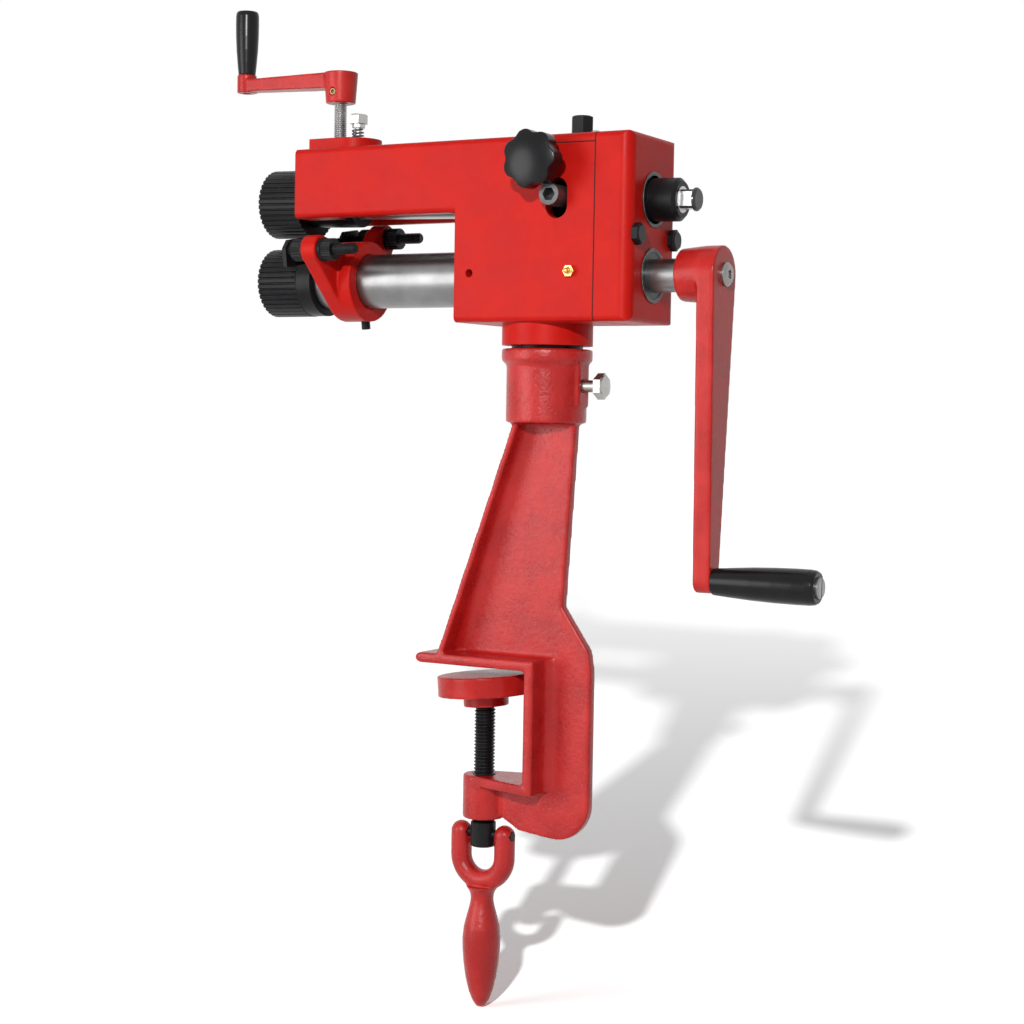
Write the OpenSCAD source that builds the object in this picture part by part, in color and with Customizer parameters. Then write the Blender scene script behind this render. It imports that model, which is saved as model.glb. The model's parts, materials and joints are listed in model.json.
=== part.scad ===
/* [Head casting] */
// Height of the top of the fixed socket above the bench face
socket_top = 275.5; // [200:0.5:360]
// Thickness of the ring the head turns on
thrust_t = 2.8; // [2:0.1:6]
// Distance of the edge of the thrust ring from the edge of the socket
ring_edge = 4; // [3:0.5:6]
// Outside size of the round foot under the head
foot_d = 78.4; // [64:0.2:90]
// Height of the round foot under the head
foot_h = 18.7; // [12:0.1:30]
// Height of the top of the head above the level upper shaft
upper_rise = 52; // [48:0.5:60]
// Height of the lower edge of the arm above the level fence studs
arm_rise = 20.5; // [20.5:0.5:24]
// Reach of the arm from the turning axis to its front end
arm_reach = 235; // [215:1:270]
// Distance of the throat wall from the turning axis
throat_wall = 67.5; // [60:0.5:74]
// Distance of the joint with the rear cover from the turning axis
split_x = 65.3; // [64:0.1:68]
// Depth of the rear cover along the shafts
cover_depth = 33.4; // [30:0.2:44]
// Thickness of the side walls of the head
side_wall = 12; // [9:0.5:14]
// Thickness of the walls of the rear cover
cover_wall = 5; // [4:0.5:7]
// Thickness of the lid over the chamber
lid_t = 8.5; // [6:0.5:11]
// Distance of the front edge of the lid from the turning axis
lid_front = 8; // [4:0.5:14]
// Rounding along the long edges of the head
edge_r = 5; // [3:0.5:8]
// Rounding of the upright corners of the rear cover
cover_corner_r = 10; // [6:0.5:12]
// Fillet in the corner between arm and body
neck_r = 9; // [5:0.5:14]
// Height of the round ended boss on top of the arm
boss_h = 11.5; // [8:0.5:16]
// Half width of the boss on top of the arm
boss_r = 24; // [20:0.5:28]
// Distance between the press screw axis and the round end of the boss
boss_shift = 16.6; // [14:0.2:20]
// Size of the long slot in the near face along the shafts
slot_w = 20; // [19:0.2:24]
// Height of the long slot in the near face
slot_h = 34; // [32:0.5:40]
// Distance of the front wall of the chamber from the turning axis
chamber_front = 55.5; // [50:0.5:57]
// Depth of the upper chamber below the level upper shaft
chamber_low = 28.5; // [26:0.5:30]
// Distance of the front wall of the lower pocket from the turning axis
pocket_front = 10; // [6:0.5:14]
// Thickness of the floor under the lower pocket
lower_floor = 10; // [8:0.5:12]
// Height of the lid seat above the roof of the channel
roof_step = 1; // [0.8:0.1:1.5]
// Length of the guides for the block at the front of the arm
guide_l = 38; // [34:1:42]
// Width of the cross bar that carries the lid screw
bar_w = 16; // [14:0.5:18]
// Height of the cross bar that carries the lid screw
bar_h = 13; // [11:0.5:14]
// Outside size of the bosses round the cover bolts
bolt_boss_d = 17; // [15:0.5:18]

/* [Shafts and rollers] */
// Height of the lower shaft above the underside of the head
lower_rise = 39.5; // [38:0.5:44]
// Distance between the shafts when both lie level
axis_gap = 64; // [60:0.2:68]
// Distance of the rocking pivot from the turning axis
pivot_x = 56; // [52:0.5:58]
// Tilt of the upper shaft when the rollers stand open, in degrees
open_tilt = 1.4; // [0.8:0.1:1.5]
// Diameter of both shafts
shaft_d = 28; // [24:0.5:29]
// Gap between the rollers when both shafts lie level
roller_gap = 2; // [1.5:0.5:6]
// Distance of the front faces of the rollers from the front end of the arm
roller_out = 51; // [49:0.5:55]
// Width of the toothed face of a roller
roller_w = 42; // [34:0.5:43]
// Width of the plain band behind the lower roller teeth
band_w = 15; // [12:0.5:15]
// Height of the teeth over the plain band
band_step = 0.4; // [0.3:0.1:1]
// Number of teeth on a roller
roller_teeth = 38; // [24:2:48]
// Depth of the roller teeth
roller_tooth_h = 1.4; // [0.9:0.1:2.4]
// Outside size of the steel tube round the lower shaft
tube_d = 48.4; // [46:0.2:52]
// Wall of the steel tube
tube_wall = 4; // [3:0.2:5]
// Distance that the tube reaches back past the turning axis
tube_end = 22; // [12:1:40]
// Flange thickness of the front bush
bush_flange = 1.5; // [1:0.1:2]
// Distance of the edge of the front bush flange from the edge of the tube
bush_edge = 1; // [0.5:0.1:2]
// Length of the bushes
bush_l = 24; // [16:1:30]
// Outside size of the rear ring bushes in the cover
ring_d = 45.5; // [42:0.5:48]
// Stand out of the rear ring bushes
ring_out = 1; // [0.5:0.1:2]
// Width of the raised lip of the lower ring bush
ring_lip = 2; // [1.5:0.1:3]
// Bore of the upper ring, wide for the rocking shaft
upper_ring_bore = 40.4; // [39:0.2:42]
// Number of teeth on a gear
gear_teeth = 32; // [24:1:36]
// Width of a gear
gear_w = 16; // [12:0.5:18]
// Distance of the front face of the gears from the turning axis
gear_front = 69; // [67:0.5:72]
// Height of the gear teeth over the pitch circle
gear_tooth_out = 1.5; // [0.8:0.1:1.7]
// Depth of the gear teeth below the pitch circle
gear_tooth_in = 3.2; // [2.8:0.1:3.7]
// Gap between the gears and the side walls of the rear cover
gear_room = 1.9; // [1.4:0.1:4]
// Outside size of the rear collar on the upper shaft
collar_d = 36; // [32:0.5:37]
// Distance of the end of the rear collar from the turning axis
collar_end = 125; // [118:0.5:130]
// Distance of the end of the square tail from the turning axis
tail_end = 139.5; // [134:0.5:150]
// Round size of the square tail
tail_d = 19.5; // [18:0.5:22]
// Distance across the flats of the square tail
tail_flats = 15.5; // [14:0.5:17]
// Size of the recess in the front face of a roller
sink_d = 30; // [28:0.5:34]
// Depth of the recess in the front face of a roller
sink_h = 8; // [6.5:0.5:10]
// Diameter of the screw that holds a roller
roller_screw_d = 10; // [8:0.5:12]
// Across flats of the screw head that holds a roller
roller_screw_flats = 16; // [13:0.5:18]
// Thickness of the washer under the screw head
washer_t = 2.5; // [2:0.1:3]
// Bevel at the end of the square tail
tail_chamfer = 1.5; // [1:0.1:2]
// Bevel at the end of the rear collar
collar_chamfer = 3; // [2:0.5:4]
// Height of the upper ring below the level upper shaft
ring_drop = 1; // [0.8:0.1:1.2]
// Depth of the ring bushes in the cover
ring_in = 10; // [7:0.5:12]

/* [Rocking carrier] */
// Outside size of the front bearing block
block_d = 42; // [40:0.5:44]
// Length of the front bearing block
block_l = 50; // [40:1:51]
// Distance across the guided flats of the front bearing block
block_flats = 40.6; // [38:0.2:41]
// Height of the flat on top of the block above its axis
block_top = 26; // [24:0.25:27]
// Gap between the rocking ring and the side walls of the head
rock_room = 2.4; // [1.4:0.1:4]
// Width of the rocking ring
rock_w = 12; // [10:0.5:13]
// Diameter of the two pivot pins
pivot_pin_d = 9; // [7:0.5:10]
// Depth of the pivot pins in the side walls
pivot_pin_in = 8; // [6:0.5:9]
// Outside size of the adjusting sleeve
sleeve_d = 44; // [40:0.5:46]
// Distance of the front end of the sleeve from the turning axis
sleeve_front = 12; // [8:1:16]
// Distance of the sleeve pin from the turning axis
sleeve_pin_x = 30.5; // [30:0.1:31]
// Diameter of the sleeve pin
sleeve_pin_d = 18; // [16:0.5:18.6]
// Stand out of the sleeve pin from the near face
sleeve_pin_out = 14; // [8:0.5:18]
// Width of the hexagon socket in the sleeve pin
sleeve_socket = 10; // [8:0.5:12]
// Diameter of the inner end of the sleeve pin
sleeve_pin_seat = 12; // [10:0.5:13]
// Stand out of the sleeve behind the rocking ring
sleeve_back = 2; // [1:0.5:3]
// Metal left over the shaft under a seated pin or bolt
seat_floor = 2; // [1.5:0.1:3]
// Side play of the lift bolt in the roof of the arm, on the radius
lift_play = 1.7; // [1.6:0.1:1.9]

/* [Press screw and top crank] */
// Distance of the press screw from the front end of the arm
press_in = 17.4; // [16:0.2:19]
// Diameter of the press screw
press_d = 12; // [10:0.5:14]
// Size of the thrust button under the press screw
button_d = 17; // [15:0.5:20]
// Thickness of the thrust button
button_t = 5; // [4:0.25:7]
// Height of the top crank hub above the boss when open
hub_gap = 34; // [30:0.5:44]
// Outside size of the top crank hub at its top
top_hub_d = 31; // [27:0.5:34]
// Outside size of the top crank hub at its bottom
top_hub_low_d = 27; // [24:0.5:31]
// Height of the top crank hub
top_hub_h = 28; // [24:0.5:34]
// Radius of the top crank
top_crank_r = 106; // [80:1:130]
// Thickness of the top crank arm at the grip
top_arm_t = 11; // [8:0.5:14]
// Thickness of the top crank arm at the hub
top_arm_hub_t = 14.5; // [11:0.5:17]
// Width of the top crank arm at the hub
top_arm_w = 20; // [15:0.5:24]
// Width of the top crank arm at the grip
top_arm_end_w = 15; // [11:0.5:17]
// Outside size of the boss under the top grip
top_eye_d = 18; // [15:0.5:22]
// Height of the boss under the top grip
top_eye_h = 16.5; // [14:0.5:22]
// Length of the top grip
top_grip_l = 58; // [45:1:75]
// Small diameter of the top grip
top_grip_small = 15.7; // [13:0.1:18]
// Large diameter of the top grip
top_grip_big = 21.5; // [18:0.5:26]
// Diameter of the pin in the top grip
top_pin_d = 7; // [5:0.5:9]
// Distance between the press screw and the lift bolt
lift_gap = 19.3; // [18.5:0.1:20]
// Diameter of the lift bolt
lift_d = 6; // [5:0.25:7]
// Distance across the flats of the lift bolt head
lift_flats = 15.4; // [13:0.2:17]
// Height of the lift bolt head
lift_head_h = 8.5; // [6:0.5:10]
// Size of the collar under the lift bolt head
lift_collar_d = 11.6; // [10:0.2:14]
// Height of the collar under the lift bolt head
lift_collar_h = 3.7; // [2:0.1:5]
// Length of the lift spring when open
spring_l = 19; // [18:0.5:20]
// Height of the lift spring that shows above the boss
spring_show = 11; // [9:0.5:12]
// Outside size of the lift spring
spring_d = 11.4; // [10:0.2:12]
// Wire size of the lift spring
spring_wire = 1.4; // [1:0.1:1.6]
// Turns of the lift spring
spring_turns = 6; // [5:0.5:7]
// Diameter of the nose of the press screw
nose_d = 8.2; // [7:0.2:9]
// Thickness of the hub top over the press screw
hub_cap = 2; // [1.5:0.5:4]
// Size of the set screw hole in the top crank hub
grub_d = 7; // [5:0.5:8]
// Depth of the top grip boss below the arm
top_eye_drop = 1; // [0:0.5:3]
// Height of the set screw hole above the foot of the top crank hub
grub_rise = 9.5; // [8:0.5:12]
// Head size of the pin in the top grip
top_pin_head_d = 11.6; // [10:0.2:12]
// Depth of the recess in the end of both grips
grip_sink = 4; // [3:0.5:5]

/* [Drive crank] */
// Distance of the hub of the drive crank from the turning axis
hub_start = 126.5; // [124:0.5:134]
// Distance of the outer face of the drive crank from the turning axis
crank_face = 164; // [158:0.5:172]
// Outside size of the drive crank hub at the arm
hub_d = 47.5; // [42:0.5:52]
// Outside size of the drive crank hub at its front end
hub_front_d = 43.5; // [38:0.5:47.5]
// Thickness of the drive crank arm
crank_t = 15.5; // [12:0.5:18]
// Radius of the drive crank
crank_r = 252; // [200:1:300]
// Width of the drive crank arm at the grip end
crank_end_w = 20; // [17:0.5:26]
// Lean of the hanging drive crank toward the near side, in degrees
crank_lean = 2; // [0:0.5:10]
// Diameter of the shaft end inside the drive crank
crank_seat_d = 22; // [18:0.5:24]
// Length of the drive grip
grip_length = 90; // [75:1:110]
// Small diameter of the drive grip
grip_small = 22; // [20:0.5:25]
// Large diameter of the drive grip
grip_big = 29.5; // [26:0.5:34]
// Diameter of the pin in the drive grip
grip_pin_d = 10; // [8:0.5:12]
// Head size of the pin in the drive grip
grip_head_d = 17.5; // [15:0.5:19]
// Head size of the drive crank screw
crank_screw_d = 20; // [17:0.5:21]
// Length of the drive crank screw in the shaft
crank_screw_l = 20; // [16:0.5:30]
// Height of the head of the drive crank screw
dome_h = 4.5; // [3:0.5:6]
// Across flats of the socket in the drive crank screw
dome_socket = 7; // [5:0.5:8]
// Depth of the shaft end below the outer face of the drive crank
shaft_end_in = 2; // [1.5:0.5:4]
// Stand out of the grip pin head
pin_show = 3; // [2:0.5:4]
// Width of the screwdriver slot in the grip pin head
pin_slot = 2; // [1.5:0.5:3]

/* [Fence] */
// Distance of the front face of the fence bracket from the front end of the arm
bracket_in = 25; // [24:0.5:26]
// Thickness of the bracket ears
ear_t = 15; // [12:0.5:17]
// Width of the bracket hub along the tube
bracket_hub_w = 28; // [24:0.5:34]
// Outside size of the bracket hub round the tube
bracket_hub_d = 72; // [68:0.5:76]
// Half distance between the fence studs
stud_half = 54; // [50:0.5:60]
// Turn of the bracket round the tube, in degrees
bracket_turn = 9.5; // [0:0.5:10]
// Size of the round bracket ears
ear_d = 26; // [23:0.5:28]
// Diameter of the fence studs
stud_d = 9.8; // [8:0.2:11]
// Length of the fence studs behind the fence plate
stud_l = 70; // [60:1:80]
// Distance of the fence plate from the front end of the arm
fence_in = 6; // [5:0.25:7]
// Thickness of the fence plate
fence_t = 3.8; // [3:0.2:5]
// Half width of the fence plate
fence_half = 62; // [60.5:0.5:66]
// Distance of the lower edge of the fence plate below the studs
fence_down = 14; // [12:0.5:18]
// Distance of the upper edge of the fence plate above the studs
fence_up = 9.5; // [8:0.5:12]
// Cut corner of the fence plate
fence_cut = 7; // [4:0.5:9]
// Gap between the roller band and the notch of the fence plate
notch_gap = 3; // [2:0.25:4]
// Outside size of the knurled nuts
nut_d = 20.5; // [18:0.5:23]
// Thickness of the knurled nuts
nut_t = 13.5; // [11:0.5:14]
// Number of grooves on a knurled nut
nut_grooves = 24; // [16:2:36]
// Size of the bracket set screw
set_d = 8; // [6:0.5:10]
// Stand out of the bracket set screw
set_out = 7; // [4:0.5:10]
// Thickness of the flange on a knurled nut
nut_flange_t = 3; // [2:0.5:4]
// Depth of the grooves on a knurled nut
nut_groove = 0.7; // [0.4:0.1:1]
// Step between the flange and the grooves of a knurled nut
nut_step = 0.5; // [0.3:0.1:1]
// Depth of the dip in the middle of the fence plate
fence_dip = 5; // [4.5:0.5:6]

/* [Knob and small parts] */
// Distance of the lock knob from the turning axis
knob_x = 20; // [19:0.5:21]
// Height of the lock knob below the top of the head
knob_drop = 23.5; // [23:0.5:24.5]
// Outside size of the lock knob over the lobes
knob_d = 49; // [44:0.5:50]
// Thickness of the lobed part of the lock knob
knob_t = 19; // [14:0.5:22]
// Distance between the near face and the lobes
knob_gap = 16; // [15.5:0.5:24]
// Number of lobes on the lock knob
knob_lobes = 7; // [6:1:8]
// Diameter of the lock knob stud
knob_stud_d = 10; // [8:0.5:12]
// Across flats of the cover bolts
bolt_flats = 16; // [13:0.5:18]
// Distance of the cover bolts from the sides of the cover
bolt_in = 10.4; // [9.8:0.2:12]
// Across flats of the lid screw
lid_screw_flats = 17.5; // [15:0.5:20]
// Height of the lid screw head
lid_screw_h = 20; // [12:0.5:24]
// Distance of the grease nipple from the turning axis
nipple_x = 44.5; // [42:0.5:47]
// Distance of the plain side hole from the turning axis
side_hole_x = 52.7; // [50:0.5:55]
// Size of the plain side hole
side_hole_d = 7; // [5:0.5:9]
// Height of the side hole and the side nipple above the lower axis
nipple_rise = 2; // [1:0.5:4]
// Size of one lobe of the lock knob, on the radius
lobe_r = 8; // [7.4:0.1:8.4]
// Size of one hollow between the lobes, on the radius
scallop_r = 9; // [8:0.1:10]
// Radius of the domed face of the lock knob
knob_face_r = 70; // [60:1:90]
// Outside size of the collar behind the lock knob
knob_collar_d = 20; // [16:0.5:24]
// Thread size of the grease nipples
nipple_thread = 6; // [5:0.5:7]
// Across flats of the side grease nipple
nipple_hex = 9; // [8:0.5:11]
// Height of the hexagon of the side grease nipple
nipple_hex_h = 4; // [3:0.5:5]
// Height of the side grease nipple
nipple_l = 10; // [9:0.5:12]
// Size of the neck of the side grease nipple
nipple_neck_d = 4; // [3.5:0.1:4.2]
// Size of the ball end of the side grease nipple
nipple_ball_d = 4.5; // [4.3:0.1:5]
// Distance of the top nipple from the middle plane, toward the near side
top_nipple_y = 20; // [18:0.5:22]
// Radius of the domed top nipple
dome_r = 6.5; // [6:0.1:7]
// Depth of the centre of the dome below the lid
dome_sink = 2; // [1.5:0.1:2.5]
// Thread size of the cover bolts
bolt_thread = 9.6; // [8:0.2:11]
// Height of the cover bolt heads
bolt_head_h = 6.5; // [5:0.5:8]
// Thread size of the lid screw
lid_screw_thread = 10; // [8:0.5:12]
// Distance of the lid screw from the turning axis
lid_screw_x = 30; // [29:0.5:31]

/* [Stand] */
// Outside size of the socket flange
socket_flange_d = 78.4; // [72:0.2:86]
// Height of the socket flange
socket_flange_h = 10; // [7:0.5:14]
// Outside size of the socket body
socket_d = 69.6; // [66:0.2:74]
// Height of the socket
socket_h = 63.5; // [56:0.5:72]
// Diameter of the spindle under the head
spindle_d = 44; // [38:0.5:48]
// Length of the spindle in the socket
spindle_l = 50; // [40:1:52]
// Depth of the jaws from near edge to far edge
jaw_depth = 68; // [60:0.5:76]
// Reach of the upper jaw from the throat wall
jaw_reach = 109; // [102:0.5:120]
// Thickness of the jaws and throat wall
jaw_t = 9; // [7.5:0.5:11]
// Opening of the bench throat
throat_h = 98.5; // [92:0.5:110]
// Depth of the web plate
web_t = 10; // [8:0.5:13]
// Half depth of the slanted flange at its top
flange_top_half = 24; // [20:0.5:28]
// Thickness of the slanted flange
flange_t = 5.5; // [4.5:0.5:8]
// Distance of the clamp screw from the throat wall
clamp_x = 56; // [50:0.5:60]
// Outside size of the clamp screw boss
clamp_boss_d = 37; // [33:0.5:42]
// Height of the clamp screw boss
clamp_boss_h = 39; // [34:0.5:46]
// Fillet of the web along the throat wall and the slanted flange
web_fillet = 11; // [7:0.5:13]
// Distance of the right edge of the web from the throat wall
web_out = 50; // [48:0.5:54]
// Distance of the narrowest place of the web from the throat wall
web_waist = 21.4; // [19:0.2:23]
// Height of the narrowest place of the web
web_waist_z = 54; // [48:0.5:60]
// Distance of the knee of the web from the throat wall
web_knee_x = 47; // [44:0.5:47.5]
// Height of the knee of the web
web_knee_z = 17.5; // [12:0.5:22]
// Distance of the right edge of the web from the turning axis, at the socket
web_head_x = 31; // [28:0.5:33]
// Depth of the web below the bench throat
web_bottom = 50; // [46:0.5:54]
// Radius of the rounded lower corner of the web
web_corner_r = 33; // [26:0.5:36]
// Distance of the lower left end of the web from the throat wall
web_tip_x = 35.5; // [34:0.5:36.5]
// Depth of the lower left end of the web below the bench face
web_tip_z = 134.5; // [130:0.5:136]
// Distance of the lower edge of the web from the throat wall
web_low_x = 18; // [14:0.5:22]
// Depth of the lower edge of the web below the bench face
web_low_z = 144.5; // [140:0.5:146]
// Distance of the foot of the slanted flange from the throat wall
flange_foot_x = 90; // [84:0.5:96]
// Distance of the head of the slanted flange from the turning axis
flange_head_x = 20; // [17:0.5:24]
// Stand out of the bolt pad from the turning axis
socket_pad_x = 36.5; // [36:0.1:38]
// Half depth of the bolt pad
socket_pad_half = 10; // [8:0.5:12]
// Distance of the lower edge of the bolt pad below the socket top
socket_pad_low = 49.5; // [46:0.5:54]
// Distance of the upper edge of the bolt pad below the socket top
socket_pad_high = 12; // [11:0.5:16]
// Distance of the socket bolt below the socket top
bolt_down = 31.5; // [28:0.5:35]
// Height of the bevel under the socket flange
socket_chamfer = 4; // [2:0.5:6]
// Thickness of the floor of the socket
socket_floor = 11; // [9:0.5:12]

/* [Clamp] */
// Diameter of the clamp screw
clamp_d = 19; // [17:0.5:22]
// Outside size of the clamp pad
pad_d = 84; // [76:1:90]
// Thickness of the clamp pad
pad_t = 18; // [15:0.5:20]
// Distance of the clamp pad below the bench face
pad_drop = 10; // [9:0.5:16]
// Outside size of the pad hub
pad_hub_d = 40; // [36:0.5:46]
// Height of the pad hub
pad_hub_h = 10; // [8:0.5:14]
// Tilt of the clamp pad, in degrees
pad_tilt = 4.5; // [0:0.5:5]
// Diameter of the thrust ball in the pad
ball_d = 20; // [18:0.5:22]
// Outside size of the clamp screw head
clamp_head_d = 22.4; // [22:0.2:24]
// Height of the clamp screw head
clamp_head_h = 22.5; // [20:0.5:28]
// Distance of the clamp screw head below the boss
clamp_head_gap = 3; // [2:0.5:8]
// Distance between the fork arms across the screw
fork_pitch = 44; // [43.5:0.25:47]
// Thickness of the fork arms
fork_arm_d = 18.6; // [16:0.2:19.6]
// Straight length of the fork arms
fork_leg = 20; // [19:0.5:26]
// Diameter of the fork pin
fork_pin_d = 8; // [6:0.5:9]
// Widest size of the fork handle
handle_belly_d = 34; // [28:0.5:38]
// Length of the fork handle below the fork
handle_length = 107; // [90:1:130]
// Size of the socket bolt
socket_bolt_d = 10.4; // [8:0.2:12]
// Across flats of the socket bolt head
socket_bolt_flats = 19.5; // [17:0.5:22]
// Stand out of the socket bolt head from its pad
socket_bolt_out = 13; // [9:0.5:16]
// Thickness of the socket bolt head
socket_bolt_head = 7.5; // [6:0.5:9]
// Side play of the clamp screw in the pad, on the radius
pad_play = 3.5; // [3:0.5:5]
// Overlap of the fork handle with its fork
fork_blend = 2; // [1:0.5:3]
// Distance between the ends of the fork pin and the fork
fork_pin_in = 1; // [0.5:0.1:1.5]

/* [Fits] */
// Gap of a running fit, on the radius
run_fit = 0.05; // [0.04:0.01:0.08]
// Gap of a seated fit, on the radius
seat_fit = 0.02; // [0.01:0.01:0.03]
// Open gap between parts that must never touch
air = 0.5; // [0.4:0.1:0.6]
// Length of a cut or a root past the face that it joins
over = 1; // [0.8:0.1:1.2]
// Small bevel on screw heads
edge_cut = 1; // [0.6:0.1:1.2]

/* [Hidden] */
$fn = 48;

two = 2;
half_share = 0.5;
quarter_turn = 90;
half_turn = 180;
full_turn = 360;
hex_sides = 6;
root_three = 1.7320508;

// The distance between the shafts sets the gears, the rollers and the head round them.
gear_d = axis_gap + gear_tooth_out * two;
gear_root_d = axis_gap - gear_tooth_in * two;
roller_d = axis_gap - roller_gap;
roller_r = roller_d / two;
shaft_r = shaft_d / two;
head_depth = gear_d + (gear_room + cover_wall * two) * two;
half_y = head_depth / two;
inner_y = half_y - side_wall;
rock_d = (inner_y - rock_room) * two;
head_z = socket_top + thrust_t + foot_h;
lower_z = head_z + lower_rise;
upper_z = lower_z + axis_gap;
head_h = lower_rise + axis_gap + upper_rise;
head_top = head_z + head_h;
boss_top = head_top + boss_h;
notch_r = roller_r + notch_gap;
stud_rise = notch_r;
arm_z = lower_z + stud_rise + arm_rise;
cover_end = split_x + cover_depth;
// The front end of the arm carries the rollers, the press screw and the fence with it.
roller_front = arm_reach + roller_out;
press_x = arm_reach - press_in;
bracket_x = arm_reach - bracket_in;
fence_x = arm_reach - fence_in;
fence_low = stud_rise - fence_down;
fence_high = stud_rise + fence_up;
bolt_side = half_y - bolt_in;
block_r = block_d / two;
tube_r = tube_d / two;
jaw_half = jaw_depth / two;
sides = [-1, 1];

// Basic shapes along the three axes.
module box(x0, x1, y0, y1, z0, z1) {
  translate([x0, y0, z0]) cube([x1 - x0, y1 - y0, z1 - z0]);
}

module rod_x(x0, x1, r) {
  translate([x0, 0, 0]) rotate([0, quarter_turn, 0]) cylinder(h = x1 - x0, r = r);
}

module rod_y(y0, y1, r) {
  translate([0, y0, 0]) rotate([-quarter_turn, 0, 0]) cylinder(h = y1 - y0, r = r);
}

module rod_z(z0, z1, r) {
  translate([0, 0, z0]) cylinder(h = z1 - z0, r = r);
}

module cone_z(z0, z1, r0, r1) {
  translate([0, 0, z0]) cylinder(h = z1 - z0, r1 = r0, r2 = r1);
}

module cone_x(x0, x1, r0, r1) {
  translate([x0, 0, 0]) rotate([0, quarter_turn, 0]) cylinder(h = x1 - x0, r1 = r0, r2 = r1);
}

module hex_z(z0, z1, flats) {
  translate([0, 0, z0]) cylinder(h = z1 - z0, r = flats / root_three, $fn = hex_sides);
}

module hex_x(x0, x1, flats) {
  translate([x0, 0, 0]) rotate([0, quarter_turn, 0]) cylinder(h = x1 - x0, r = flats / root_three,
    $fn = hex_sides);
}

// Hexagon heads with a bevelled end, standing up and lying along the shafts.
module hex_head_z(z0, h, flats) {
  hex_z(z0, z0 + h - edge_cut, flats);
  cone_z(z0 + h - edge_cut, z0 + h, flats / two, flats / two - edge_cut);
}

module hex_head_x(x0, h, flats) {
  hex_x(x0, x0 + h - edge_cut, flats);
  cone_x(x0 + h - edge_cut, x0 + h, flats / two, flats / two - edge_cut);
}

// Places a part on the level lower axis.
module on_lower() {
  translate([0, 0, lower_z]) children();
}

// Places a part on the upper axis, tilted about the pivot as the open rollers stand.
module on_upper() {
  translate([pivot_x, 0, upper_z]) rotate([0, open_tilt, 0]) translate([-pivot_x, 0, 0]) children();
}

// Flat shapes drawn in the upright plane along the shafts and across them.
module upright(y0, y1) {
  translate([0, y1, 0]) rotate([quarter_turn, 0, 0]) linear_extrude(y1 - y0) children();
}

module crosswise(x0, x1) {
  translate([x0, 0, 0]) rotate([quarter_turn, 0, quarter_turn]) linear_extrude(x1 - x0) children();
}

// Rounded rectangle, drawn from squares and circles.
module round_rect(w, h, r) {
  translate([r, 0]) square([w - two * r, h]);
  translate([0, r]) square([w, h - two * r]);
  for (x = [r, w - r], y = [r, h - r]) translate([x, y]) circle(r = r);
}

// Bar along the shafts with rounded long edges.
module round_bar(x0, x1, z0, z1, r) {
  translate([x0, -half_y, z1]) rotate([0, quarter_turn, 0]) linear_extrude(x1 - x0)
    round_rect(z1 - z0, head_depth, r);
}

// Stand: socket, slanted flange, web plate, bench throat and the boss for the clamp screw.
socket_low = socket_top - socket_h;
lower_jaw_z = -throat_h;
boss_low = lower_jaw_z - clamp_boss_h;
clamp_axis = -clamp_x;
corner_x = web_out - web_corner_r;
corner_z = -(throat_h + web_bottom - web_corner_r);
flange_z = socket_top - socket_flange_h;
bolt_z = socket_top - bolt_down;

module flange_side() {
  polygon([[-flange_foot_x, 0], [-flange_foot_x + flange_t, 0],
    [-flange_head_x + flange_t, socket_low], [-flange_head_x, socket_low]]);
}

module flange_front() {
  polygon([[-jaw_half, 0], [jaw_half, 0], [flange_top_half, socket_low], [-flange_top_half, socket_low]]);
}

module web_outline() {
  jaw_mid = lower_jaw_z - jaw_t / two;
  polygon([[-flange_foot_x + flange_t / two, 0], [-flange_head_x, socket_low], [web_head_x, socket_low],
    [web_waist, web_waist_z], [web_knee_x, web_knee_z], [web_out, 0], [web_out, corner_z],
    [corner_x, corner_z], [corner_x, -throat_h - web_bottom], [-web_low_x, -web_low_z],
    [-web_tip_x, -web_tip_z], [-web_tip_x, jaw_mid], [jaw_t / two, jaw_mid], [jaw_t / two, 0]]);
  translate([corner_x, corner_z]) intersection() {
    circle(r = web_corner_r);
    translate([0, -web_corner_r]) square(web_corner_r);
  }
}

module lower_jaw_outline() {
  polygon([[jaw_t, -jaw_half], [jaw_t, jaw_half], [0, jaw_half], [clamp_axis, clamp_boss_d / two],
    [clamp_axis, -clamp_boss_d / two], [0, -jaw_half]]);
}

// Metal in the corners between the web and a wall, seen along an upright edge.
module web_corner(z0, z1) {
  fillet_y = web_t / two + web_fillet;
  difference() {
    box(-over, web_fillet, -fillet_y, fillet_y, z0, z1);
    for (s = sides) translate([web_fillet, s * fillet_y, 0]) rod_z(z0 - over, z1 + over, web_fillet);
  }
}

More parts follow.
